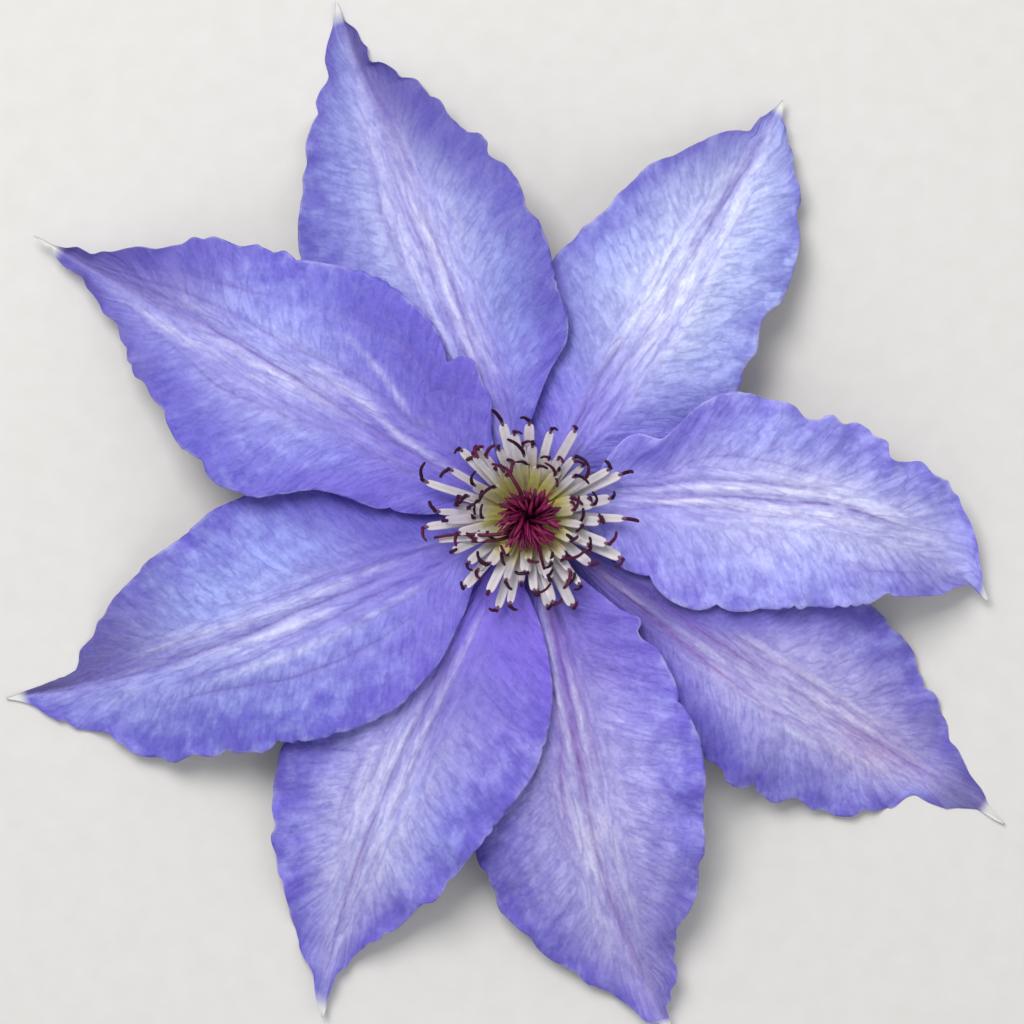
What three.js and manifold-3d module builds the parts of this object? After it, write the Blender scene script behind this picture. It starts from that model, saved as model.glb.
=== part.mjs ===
// A large-flowered clematis bloom, picked with a short length of its stalk and lying face up.
// Eight overlapping sepals, a boss of strap-like stamens with hooked anthers and a tuft of styles
// grow from one receptacle. Units are millimetres and +Z is up. The bloom rests on three sepals.

import * as THREE from "three";
import { mergeVertices } from "three/addons/utils/BufferGeometryUtils.js";
import Module from "manifold-3d";

const { degToRad, smoothstep, clamp, lerp } = THREE.MathUtils;

// Receptacle and stalk
const GAP = 0.3; // clearance between a piece and what carries it
const RIM_RADIUS = 3.5; // the rim that the sepals grow from
const RIM_HEIGHT = 13; // middle of that rim
const RIM_THICKNESS = 1.6;
const DOME_RADIUS = 1.7; // the dome above the rim, which carries stamens and styles
const DOME_TOP = 17;
const STALK_RADIUS = 1.3;
const STALK_TOWARD = 246; // degrees, under the sixth sepal
const STALK_REACH = 46;
const STALK_LOW = 1.75; // height of the stalk's axis where it runs along
const STALK_STEPS = 16;
const STALK_HALF_SIDES = 5;

// Sepals
const SEPAL_THICKNESS = 0.8;
const SEPAL_START = RIM_RADIUS + GAP;
const SEPAL_ROWS = 25;
const SEPAL_COLUMNS = 6;
const BASE_HALF_WIDTH = 1.05;
const TIP_HALF_WIDTH = 0.2;
const OVERLAP_LIFT = 1.45; // a margin above its neighbour is raised by this, one below it sunk
const LIFT_RISE = [SEPAL_START, 6.5]; // distances from the bloom's axis between which that difference starts
const LIFT_FADE = [58, 73]; // and between which it ends
const DROOP_RANGE = [44, 78]; // distances between which a sepal bends down to its own end height
const MIDRIB_DEPTH = 0.4; // of the groove along the middle of a sepal
const MIDRIB_REACH = 0.3; // share of the half width that the groove takes up
const RUFFLE = 1.3; // height of the waves along a free margin
const SCALLOP = 0.035; // share of the half width by which those waves reach in and out
const WAVES = 8.5; // waves along one margin
const LEAST_THICKNESS = 0.65; // where the underside is pressed flat against the surface

// Stamens, each pair from the innermost to the outermost one, with angles in degrees
const GOLDEN_ANGLE = 137.508;
const STAMENS = 66;
const FILAMENT_ROOT_RADIUS = [2.5, 2.9];
const FILAMENT_ROOT_HEIGHT = [15.9, 14.8];
const FILAMENT_RISE = [64, 20]; // above level
const FILAMENT_SAG = 3; // downwards over each half of its length
const FILAMENT_LENGTH = [7.6, 12.4];
const FILAMENT_HALF_WIDTHS = [0.45, 0.6, 0.55]; // at its root, middle and end
const FILAMENT_HALF_THICKNESS = 0.3;

// Anthers, each pair from the smallest to the largest draw
const ANTHER_LENGTH = [3.6, 6.2];
const ANTHER_CURL = [14, 48]; // over each third of its length
const ANTHER_LEAN = [-100, 100]; // how far it hooks sideways and not inwards
const ANTHER_HALF_SIZES = [
  [0.42, 0.34],
  [0.4, 0.32],
  [0.28, 0.26],
];

// Styles, each pair from the innermost to the outermost one
const STYLES = 22;
const STYLE_ROOT_SPREAD = 1.75;
const STYLE_TILT = [4, 17]; // from upright
const STYLE_LENGTH = [7.6, 6];
const STYLE_BEND = [30, 55]; // outwards at its end
const STYLE_SWIRL = [14, 30]; // sideways at each of its two bends, from the smallest to the largest draw
const STYLE_PARTS = [0.45, 0.3, 0.25]; // shares of its length up to, between and beyond those bends
const STYLE_HALF_SIZES = [0.36, 0.34, 0.32, 0.2];
const TUFT_BASE_RADIUS = 2.3;
const TUFT_BASE_HEIGHT = 1.1;

// Shares of a sepal's length at which its margins and its midrib are given
const MARGIN_STATIONS = [0.12, 0.24, 0.36, 0.48, 0.6, 0.72, 0.82, 0.9, 0.95];
const MIDRIB_STATIONS = [0.24, 0.6, 0.85];

// Clockwise from the top. toward is the tip's direction in degrees and length its distance from the
// bloom's axis. The margins and the midrib are distances from the straight line to the tip, on the
// anticlockwise (ccw) or the clockwise (cw) side. over says which neighbours the sepal lies on, and
// droop how far its end bends below the common saucer. The bloom rests on the three that droop most.
const SEPALS = [
  {
    toward: 110.4,
    length: 85.8,
    midrib: [-2.2, -0.4, 0.1],
    ccw: [5.0, 13.0, 18.0, 19.8, 18.7, 14.6, 9.5, 4.8, 2.7],
    cw: [-3.2, -11.3, -16.8, -17.5, -16.2, -11.6, -6.6, -2.1, -1.2],
    over: { ccw: false, cw: true },
    droop: 6.3,
  },
  {
    toward: 58.3,
    length: 77,
    midrib: [-0.9, -0.8, -0.3],
    ccw: [5.0, 13.0, 17.3, 17.0, 15.0, 12.9, 8.4, 2.9, 1.6],
    cw: [-4.2, -12.0, -16.8, -17.0, -15.7, -14.7, -10.8, -6.0, -2.5],
    over: { ccw: false, cw: false },
    droop: 4.2,
  },
  {
    toward: -10.6,
    length: 74.2,
    midrib: [6.5, 10.1, 6.8],
    ccw: [7.4, 15.6, 23.6, 24.6, 23.8, 20.4, 18.4, 14.0, 8.5],
    cw: [-0.2, -5.6, -9.6, -8.7, -6.7, -4.4, -1.2, 0.3, 1.9],
    over: { ccw: true, cw: true },
    droop: 4.6,
  },
  {
    toward: -32.9,
    length: 90,
    midrib: [-1.6, -1.2, -0.3],
    ccw: [3.8, 10.5, 15.5, 17.5, 17.3, 13.3, 7.9, 3.9, 1.5],
    cw: [-4.6, -9.5, -13.5, -17.0, -17.2, -14.0, -6.6, -2.5, -1.0],
    over: { ccw: false, cw: false },
    droop: 6.3,
  },
  {
    toward: -74.6,
    length: 84.6,
    midrib: [-1.4, -3.4, -2.1],
    ccw: [4.6, 11.8, 16.0, 16.3, 14.6, 10.9, 5.5, 3.2, 1.4],
    cw: [-4.0, -10.0, -16.0, -20.3, -21.3, -19.3, -14.2, -7.9, -4.3],
    over: { ccw: true, cw: false },
    droop: 3.6,
  },
  {
    toward: -112.1,
    length: 85.6,
    midrib: [-1.9, -3.9, -2.8],
    ccw: [3.4, 12.2, 15.9, 15.2, 12.2, 8.5, 3.5, 0.6, 0.2],
    cw: [-4.3, -10.5, -16.5, -20.6, -21.1, -17.7, -11.8, -6.4, -2.9],
    over: { ccw: true, cw: false },
    droop: 4.7,
  },
  {
    toward: -160.6,
    length: 87.3,
    midrib: [1.8, 3.0, 2.0],
    ccw: [5.8, 17.2, 21.9, 21.6, 20.3, 18.3, 12.5, 7.4, 2.8],
    cw: [-4.6, -12.5, -16.8, -17.4, -15.1, -10.7, -4.6, -0.7, -0.2],
    over: { ccw: true, cw: false },
    droop: 6.3,
  },
  {
    toward: 150.5,
    length: 89.4,
    midrib: [0.8, 0.2, 0],
    ccw: [5.2, 10.6, 14.3, 19.2, 15.7, 10.4, 4.9, 2.1, 1.2],
    cw: [-6.2, -16.4, -20.0, -19.6, -16.6, -13.4, -6.6, -2.3, -1.0],
    over: { ccw: true, cw: true },
    droop: 4.0,
  },
];

const wasm = await Module();
wasm.setup();

// A smooth curve through the given points that never overshoots them
function curveThrough(xs, ys) {
  const last = xs.length - 1;
  const slopes = xs.slice(1).map((x, i) => (ys[i + 1] - ys[i]) / (x - xs[i]));
  const tangents = ys.map((_, i) => {
    const before = slopes[Math.max(i - 1, 0)];
    const after = slopes[Math.min(i, last - 1)];
    return before * after <= 0 ? 0 : (2 * before * after) / (before + after);
  });
  return (x) => {
    const next = xs.findIndex((knot) => knot > x);
    const i = next < 0 ? last - 1 : Math.max(next - 1, 0);
    const step = xs[i + 1] - xs[i];
    const s = clamp((x - xs[i]) / step, 0, 1);
    const rise = s * s * (3 - 2 * s);
    return (
      ys[i] * (1 - rise) +
      ys[i + 1] * rise +
      step * s * (1 - s) * ((1 - s) * tangents[i] - s * tangents[i + 1])
    );
  };
}

// A repeatable draw from 0 to 1 for each item and each purpose
function draw(item, purpose) {
  const wave = Math.sin(item * 12.9898 + purpose * 78.233 + 0.5) * 43758.5453;
  return wave - Math.floor(wave);
}

function meshGeometry(points, triangles) {
  return new THREE.BufferGeometry()
    .setAttribute("position", new THREE.Float32BufferAttribute(points.flat(), 3))
    .setIndex(triangles);
}

function toSolid(geometry) {
  const bare = geometry.clone();
  bare.deleteAttribute("normal");
  bare.deleteAttribute("uv");
  const merged = mergeVertices(bare, 1e-4);
  return new wasm.Manifold(
    new wasm.Mesh({
      numProp: 3,
      vertProperties: new Float32Array(merged.attributes.position.array),
      triVerts: new Uint32Array(merged.index.array),
    }),
  );
}

function toGeometry(solid) {
  const { vertProperties, triVerts } = solid.getMesh();
  return new THREE.BufferGeometry()
    .setAttribute("position", new THREE.BufferAttribute(vertProperties, 3))
    .setIndex(new THREE.BufferAttribute(triVerts, 1));
}

// Joins closed geometries into one solid
function union(geometries) {
  return wasm.Manifold.union(geometries.map(toSolid));
}

// Height of the saucer that all sepals share, by distance from the bloom's axis
const saucer = curveThrough(
  [3.8, 10, 18, 27, 36, 46, 57, 68, 77, 92],
  [13, 14.1, 15, 15.4, 15.2, 13.9, 11.4, 8.2, 6.3, 6.9],
);

// How far a free margin curls, by share of the sepal's length: down along its middle, up at its end
const marginCurl = curveThrough([0, 0.4, 0.62, 0.82, 1], [0, 0, -0.7, 0.7, 0.5]);

// Depth of the midrib's groove along a sepal, as a share of its deepest
const groove = curveThrough([0, 0.12, 0.3, 0.75, 0.92, 1], [0, 0, 1, 0.8, 0, 0]);

// The middle surface of a sepal. t runs along its length to 1 at the tip, and v across it, from -1
// at the clockwise margin to 1 at the anticlockwise one.
function sepalSurface(sepal, order) {
  const start = SEPAL_START / sepal.length;
  const midrib = curveThrough([0, ...MIDRIB_STATIONS, 1], [0, ...sepal.midrib, 0]);
  const knots = [start, ...MARGIN_STATIONS, 1];
  const rooted = midrib(start);
  const margins = {
    ccw: curveThrough(knots, [rooted + BASE_HALF_WIDTH, ...sepal.ccw, TIP_HALF_WIDTH]),
    cw: curveThrough(knots, [rooted - BASE_HALF_WIDTH, ...sepal.cw, -TIP_HALF_WIDTH]),
  };
  const heading = degToRad(sepal.toward);

  return (t, v) => {
    const side = v < 0 ? "cw" : "ccw";
    const outward = Math.abs(v);
    const waves = 2 * Math.PI * (WAVES * t + draw(order, v < 0 ? 1 : 2));
    const free = smoothstep(t, 0.36, 0.6) * (1 - smoothstep(t, 0.86, 1));
    const scallop = 1 + SCALLOP * outward ** 4 * free * Math.sin(waves);
    const along = t * sepal.length;
    const across = midrib(t) + outward * scallop * (margins[side](t) - midrib(t));
    const radius = Math.hypot(along, across);

    // A margin on top lies and waves above the common saucer, and one beneath lies and waves below it
    const lift = OVERLAP_LIFT * smoothstep(radius, ...LIFT_RISE) * (1 - smoothstep(radius, ...LIFT_FADE));
    const ruffle = RUFFLE * outward ** 3 * free * (0.5 - 0.5 * Math.cos(waves + 0.8));
    const height =
      saucer(radius) +
      (sepal.over[side] ? 1 : -1) * (lift * smoothstep(outward, 0, 1) + ruffle) +
      marginCurl(t) * outward ** 2 -
      MIDRIB_DEPTH * groove(t) * (1 - smoothstep(outward, 0, MIDRIB_REACH)) -
      sepal.droop * smoothstep(radius, ...DROOP_RANGE);
    return new THREE.Vector3(
      along * Math.cos(heading) - across * Math.sin(heading),
      along * Math.sin(heading) + across * Math.cos(heading),
      height,
    );
  };
}

// A blade of even thickness about that surface, pressed flat where it meets the ground
function sepalGeometry(sepal, order) {
  const surface = sepalSurface(sepal, order);
  const start = SEPAL_START / sepal.length;
  const points = [];
  const triangles = [];
  const width = SEPAL_COLUMNS + 1;
  const index = (row, column, under) => 2 * (row * width + column) + (under ? 1 : 0);
  const quad = (a, b, c, d) => triangles.push(a, b, c, a, c, d);

  for (let row = 0; row <= SEPAL_ROWS; row++) {
    const t = start + (1 - start) * (row / SEPAL_ROWS);
    for (let column = 0; column <= SEPAL_COLUMNS; column++) {
      const { x, y, z } = surface(t, (2 * column) / SEPAL_COLUMNS - 1);
      const under = Math.max(z - SEPAL_THICKNESS / 2, 0);
      const top = Math.max(z + SEPAL_THICKNESS / 2, under + LEAST_THICKNESS);
      points.push([x, y, top], [x, y, under]);
    }
  }
  // Both faces share their diagonals, so that a waved blade can't cross itself
  for (let row = 0; row < SEPAL_ROWS; row++) {
    for (let column = 0; column < SEPAL_COLUMNS; column++) {
      const corners = [
        [row, column],
        [row + 1, column],
        [row + 1, column + 1],
        [row, column + 1],
      ];
      const above = corners.map(([r, c]) => index(r, c, false));
      const below = corners.map(([r, c]) => index(r, c, true));
      quad(...above);
      triangles.push(below[0], below[2], below[1], below[0], below[3], below[2]);
    }
    const next = row + 1;
    quad(index(row, 0, false), index(row, 0, true), index(next, 0, true), index(next, 0, false));
    quad(
      index(next, SEPAL_COLUMNS, false),
      index(next, SEPAL_COLUMNS, true),
      index(row, SEPAL_COLUMNS, true),
      index(row, SEPAL_COLUMNS, false),
    );
  }
  for (let column = 0; column < SEPAL_COLUMNS; column++) {
    const next = column + 1;
    quad(index(0, next, false), index(0, next, true), index(0, column, true), index(0, column, false));
    quad(
      index(SEPAL_ROWS, column, false),
      index(SEPAL_ROWS, column, true),
      index(SEPAL_ROWS, next, true),
      index(SEPAL_ROWS, next, false),
    );
  }
  return meshGeometry(points, triangles);
}

// A closed bar along a path. Each step gives a point, the two unit vectors across the bar there and
// its half sizes along them.
function bar(steps, sides = 4) {
  const points = [];
  const triangles = [];
  for (const { point, wide, deep, halfWidth, halfDepth } of steps) {
    for (let k = 0; k < sides; k++) {
      const turn = (2 * Math.PI * (k + 0.5)) / sides;
      const corner = point
        .clone()
        .addScaledVector(wide, halfWidth * Math.SQRT2 * Math.cos(turn))
        .addScaledVector(deep, halfDepth * Math.SQRT2 * Math.sin(turn));
      points.push(corner.toArray());
    }
  }
  const end = (steps.length - 1) * sides;
  for (let first = 0; first < end; first += sides) {
    for (let k = 0; k < sides; k++) {
      const next = (k + 1) % sides;
      triangles.push(first + k, first + next, first + sides + next);
      triangles.push(first + k, first + sides + next, first + sides + k);
    }
  }
  for (let k = 1; k < sides - 1; k++) {
    triangles.push(0, k + 1, k, end, end + k, end + k + 1);
  }
  return meshGeometry(points, triangles);
}

// Walks a bar's path from its root. start holds the half sizes there, and each leg its length, the half sizes
// at its end and the turns made before it, in degrees about the bar's wide and deep axes.
function walk(root, heading, sideways, start, legs) {
  const point = root.clone();
  const along = heading.clone();
  const wide = sideways.clone();
  const deep = new THREE.Vector3().crossVectors(along, wide);
  const turnBy = (axis, degrees) => {
    const fixed = axis.clone();
    [along, wide, deep].forEach((vector) => vector.applyAxisAngle(fixed, degToRad(degrees)));
  };
  const step = ({ halfWidth, halfDepth }) => ({
    point: point.clone(),
    wide: wide.clone(),
    deep: deep.clone(),
    halfWidth,
    halfDepth,
  });
  const steps = [step(start)];
  for (const leg of legs) {
    turnBy(wide, leg.pitch);
    turnBy(deep, leg.yaw);
    point.addScaledVector(along, leg.length);
    steps.push(step(leg));
  }
  return steps;
}

// The unit vector at an azimuth and a rise above level
function headingAt(azimuth, rise) {
  const turn = degToRad(azimuth);
  const lift = degToRad(rise);
  return new THREE.Vector3(Math.cos(lift) * Math.cos(turn), Math.cos(lift) * Math.sin(turn), Math.sin(lift));
}

// A strap-like filament with a hooked anther. share is 0 for the innermost, 1 for the outermost one.
function stamenGeometry(order) {
  const share = (order + 0.5) / STAMENS;
  const vary = (purpose) => draw(order, purpose) - 0.5;
  const azimuth = order * GOLDEN_ANGLE + 14 * vary(3);
  const rise = lerp(...FILAMENT_RISE, share ** 0.8) + 7 * vary(4);
  const length = lerp(...FILAMENT_LENGTH, share) + 1.8 * vary(5);
  const antherLength = lerp(...ANTHER_LENGTH, draw(order, 6));
  const curl = lerp(...ANTHER_CURL, draw(order, 7));
  const lean = degToRad(lerp(...ANTHER_LEAN, draw(order, 8)));
  const root = headingAt(azimuth, 0).multiplyScalar(lerp(...FILAMENT_ROOT_RADIUS, share));
  root.z = lerp(...FILAMENT_ROOT_HEIGHT, share);

  const [rootHalfWidth, ...halfWidths] = FILAMENT_HALF_WIDTHS;
  const strap = halfWidths.map((halfWidth) => ({
    length: length / halfWidths.length,
    halfWidth,
    halfDepth: FILAMENT_HALF_THICKNESS,
    pitch: FILAMENT_SAG,
    yaw: 0,
  }));
  const hook = ANTHER_HALF_SIZES.map(([halfWidth, halfDepth]) => ({
    length: antherLength / ANTHER_HALF_SIZES.length,
    halfWidth,
    halfDepth,
    pitch: -curl * Math.cos(lean),
    yaw: curl * Math.sin(lean),
  }));
  const start = { halfWidth: rootHalfWidth, halfDepth: FILAMENT_HALF_THICKNESS };
  const sideways = headingAt(azimuth + 90, 0);
  return bar(walk(root, headingAt(azimuth, rise), sideways, start, [...strap, ...hook]));
}

// A style that rises in the tuft, swirls and bends outwards near its end
function styleGeometry(order) {
  const share = (order + 0.5) / STYLES;
  const azimuth = order * GOLDEN_ANGLE + 40;
  const length = lerp(...STYLE_LENGTH, share) + 1.2 * (draw(order, 9) - 0.5);
  const swirl = lerp(...STYLE_SWIRL, draw(order, 10));
  const root = headingAt(azimuth, 0).multiplyScalar(STYLE_ROOT_SPREAD * Math.sqrt(share));
  root.z = DOME_TOP + GAP + 0.5 * TUFT_BASE_HEIGHT;

  const [rootHalfSize, ...halfSizes] = STYLE_HALF_SIZES;
  const bends = [
    { pitch: 0, yaw: 0 },
    { pitch: 8, yaw: swirl },
    { pitch: lerp(...STYLE_BEND, share), yaw: swirl },
  ];
  const legs = bends.map((bend, i) => ({
    ...bend,
    length: STYLE_PARTS[i] * length,
    halfWidth: halfSizes[i],
    halfDepth: halfSizes[i],
  }));
  const start = { halfWidth: rootHalfSize, halfDepth: rootHalfSize };
  const heading = headingAt(azimuth, 90 - lerp(...STYLE_TILT, share));
  return bar(walk(root, heading, headingAt(azimuth + 90, 0), start, legs));
}

// A solid turned about the bloom's axis from [radius, height] pairs
function turned(profile, segments = 20) {
  const points = profile.map(([radius, height]) => new THREE.Vector2(radius, height));
  return new THREE.LatheGeometry(points, segments).rotateX(Math.PI / 2);
}

// The ring that the stamens' roots are sunk in, open in the middle for the receptacle's dome
function stamenBoss() {
  const bottom = RIM_HEIGHT + RIM_THICKNESS / 2 + GAP;
  const inner = DOME_RADIUS + GAP;
  const top = DOME_TOP - GAP;
  const ring = turned([
    [inner, bottom],
    [RIM_RADIUS, bottom],
    [RIM_RADIUS + 0.5, bottom + 1],
    [RIM_RADIUS - 0.1, bottom + 2],
    [RIM_RADIUS - 1.1, top],
    [inner, top],
    [inner, bottom],
  ]);
  const well = turned([
    [0, 0],
    [inner, 0],
    [inner, 2 * DOME_TOP],
    [0, 2 * DOME_TOP],
  ]);
  const stamens = Array.from({ length: STAMENS }, (_, order) => stamenGeometry(order));
  return toGeometry(union([ring, ...stamens]).subtract(toSolid(well)));
}

function styleTuft() {
  const bottom = DOME_TOP + GAP;
  const base = turned([
    [0, bottom],
    [TUFT_BASE_RADIUS, bottom],
    [TUFT_BASE_RADIUS - 0.2, bottom + TUFT_BASE_HEIGHT],
    [0, bottom + TUFT_BASE_HEIGHT],
  ]);
  const styles = Array.from({ length: STYLES }, (_, order) => styleGeometry(order));
  return toGeometry(union([base, ...styles]));
}

// The cut stalk, which bends under the bloom and widens into the receptacle's rim and dome
function stalkGeometry() {
  const toward = degToRad(STALK_TOWARD);
  const at = (reach, sideways, height) =>
    new THREE.Vector3(
      reach * Math.cos(toward) - sideways * Math.sin(toward),
      reach * Math.sin(toward) + sideways * Math.cos(toward),
      height,
    );
  const path = new THREE.CatmullRomCurve3([
    at(0, 0, RIM_HEIGHT - 0.4),
    at(0.1, 0, 9.6),
    at(1.6, 0.1, 5.4),
    at(6.5, 0.4, 2.5),
    at(14, 0.9, STALK_LOW),
    at(24, 2.2, STALK_LOW),
    at(35, 2.6, STALK_LOW + 0.1),
    at(STALK_REACH, 1.4, STALK_LOW + 0.2),
  ]);
  const section = new THREE.Shape();
  section.absarc(0, 0, STALK_RADIUS, 0, 2 * Math.PI);
  const stalk = new THREE.ExtrudeGeometry(section, {
    steps: STALK_STEPS,
    curveSegments: STALK_HALF_SIDES,
    extrudePath: path,
  });
  const low = RIM_HEIGHT - RIM_THICKNESS / 2;
  const high = RIM_HEIGHT + RIM_THICKNESS / 2;
  const receptacle = turned([
    [0, low - 2.6],
    [1.2, low - 2.6],
    [1.9, low - 1.2],
    [3.1, low],
    [RIM_RADIUS, low + 0.4],
    [RIM_RADIUS, high],
    [DOME_RADIUS, high],
    [DOME_RADIUS, DOME_TOP - 0.6],
    [1.0, DOME_TOP],
    [0, DOME_TOP],
  ]);
  return toGeometry(union([stalk, receptacle]));
}

const materials = {
  sepal: new THREE.MeshStandardMaterial({ color: 0x9a92e0, roughness: 0.6, metalness: 0 }),
  stamen: new THREE.MeshStandardMaterial({ color: 0xe4dccb, roughness: 0.55, metalness: 0 }),
  style: new THREE.MeshStandardMaterial({ color: 0x5e1238, roughness: 0.5, metalness: 0 }),
  stalk: new THREE.MeshStandardMaterial({ color: 0x6f8446, roughness: 0.65, metalness: 0 }),
};

const bloom = new THREE.Group();

function addPiece(name, geometry, material) {
  const mesh = new THREE.Mesh(geometry, material);
  mesh.name = name;
  bloom.add(mesh);
}

addPiece("stalk", stalkGeometry(), materials.stalk);
SEPALS.forEach((sepal, order) => {
  addPiece(`sepal_${order + 1}`, sepalGeometry(sepal, order), materials.sepal);
});
addPiece("stamens", stamenBoss(), materials.stamen);
addPiece("styles", styleTuft(), materials.style);

// The part's origin is the middle of its outline, on the surface it rests on
const outline = new THREE.Box3().setFromObject(bloom);
const middle = outline.getCenter(new THREE.Vector3());
bloom.position.set(-middle.x, -middle.y, 0);

export default bloom;
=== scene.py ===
import math

import bpy
import numpy as np
from mathutils import Matrix, Vector


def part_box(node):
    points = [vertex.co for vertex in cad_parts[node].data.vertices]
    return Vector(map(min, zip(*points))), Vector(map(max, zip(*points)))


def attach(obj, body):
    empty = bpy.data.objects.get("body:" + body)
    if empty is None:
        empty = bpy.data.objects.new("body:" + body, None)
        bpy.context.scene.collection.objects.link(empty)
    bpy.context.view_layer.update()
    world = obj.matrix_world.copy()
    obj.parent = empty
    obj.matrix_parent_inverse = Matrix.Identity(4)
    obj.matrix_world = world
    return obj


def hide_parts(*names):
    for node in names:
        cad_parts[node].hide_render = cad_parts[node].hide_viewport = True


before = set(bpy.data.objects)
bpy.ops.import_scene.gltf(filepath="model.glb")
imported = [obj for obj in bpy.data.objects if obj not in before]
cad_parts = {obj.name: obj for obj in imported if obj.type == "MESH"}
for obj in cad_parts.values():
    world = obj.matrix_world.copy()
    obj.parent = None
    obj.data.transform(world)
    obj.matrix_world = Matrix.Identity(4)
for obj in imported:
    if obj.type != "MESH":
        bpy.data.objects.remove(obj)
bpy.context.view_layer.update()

# A large-flowered clematis bloom, lying face up. Lengths are in millimetres from the bloom's axis
# and its resting surface, and angles in degrees. in_row_frame() turns them into the row frame's metres.

MM = 0.001
RIM_RADIUS = 3.5
STALK_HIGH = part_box("stalk")[1]
AXIS = (STALK_HIGH.x / MM - RIM_RADIUS, STALK_HIGH.y / MM - RIM_RADIUS, 0)

# Camera, straight above the bloom
PIXEL = 0.156  # size of a pixel at the sepals
PICTURE = 1024  # pixels
VIEW_MIDDLE = (-2.34, 0.47)  # the point under the image's middle
FOCUS_HEIGHT = 13
CAMERA_HEIGHT = 900
SENSOR = 36
FLOOR_REACH = 3  # metres
LAMP_AIM = (0, 0, 0.01)  # metres

# Sepals
SEPAL_START = 3.5
ROW_STEP = 0.34
SEPAL_COLUMNS = 88
LENGTH_SEEN = 0.992  # the view from above shows the low tips this much nearer
BASE_HALF_WIDTH = 1.05
TIP_HALF_WIDTH = 0.1
SPIKE_HALF_WIDTH = 0.3
BLADE_THICKNESS = 0.38
EDGE_THICKNESS = 0.16
BLADE_LOWERED = 0.4  # from the sepal's middle surface to its underside
OVERLAP_LIFT = 1.45
LIFT_RISE = (3.8, 6.5)
LIFT_FADE = (58, 73)
DROOP_RANGE = (44, 78)
MIDRIB_DEPTH = 0.4
MIDRIB_REACH = 0.3
RUFFLE = 1.3
WAVES = 8.5
VEIN_SWEEP = 14  # how far forward a side vein runs on its way to the margin
RIB_SPACING = 0.135  # share of the half width
RIB_DEPTH = 0.05
VEIN_REACH = 0.75
VEIN_DEPTH = 0.24
CREST_REACH = 0.6
CREST_HEIGHT = 0.15
SHADE_REACH = 6.5
SPOT_REACH = (0.085, 0.27)  # of a tint, along and across, as shares
NOTCH_REACH = 0.9
LOBE_LENGTH = 3.1
LOBE_DEPTH = 0.62
CRINKLES = ((0.05, 1.1, 4, 11), (0.24, 2.2, 6, 21))  # height, size along the veins and across, seed
PUCKER = 0.28
CRIMP_LENGTH = 2.5
CRIMP = 0.9
UV_SCALE = 100  # millimetres to a unit of the UV maps that hold lengths

MIDRIB_STATIONS = (0.24, 0.6, 0.85)
TINTS = ("deep", "blue", "mauve", "blush")

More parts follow.
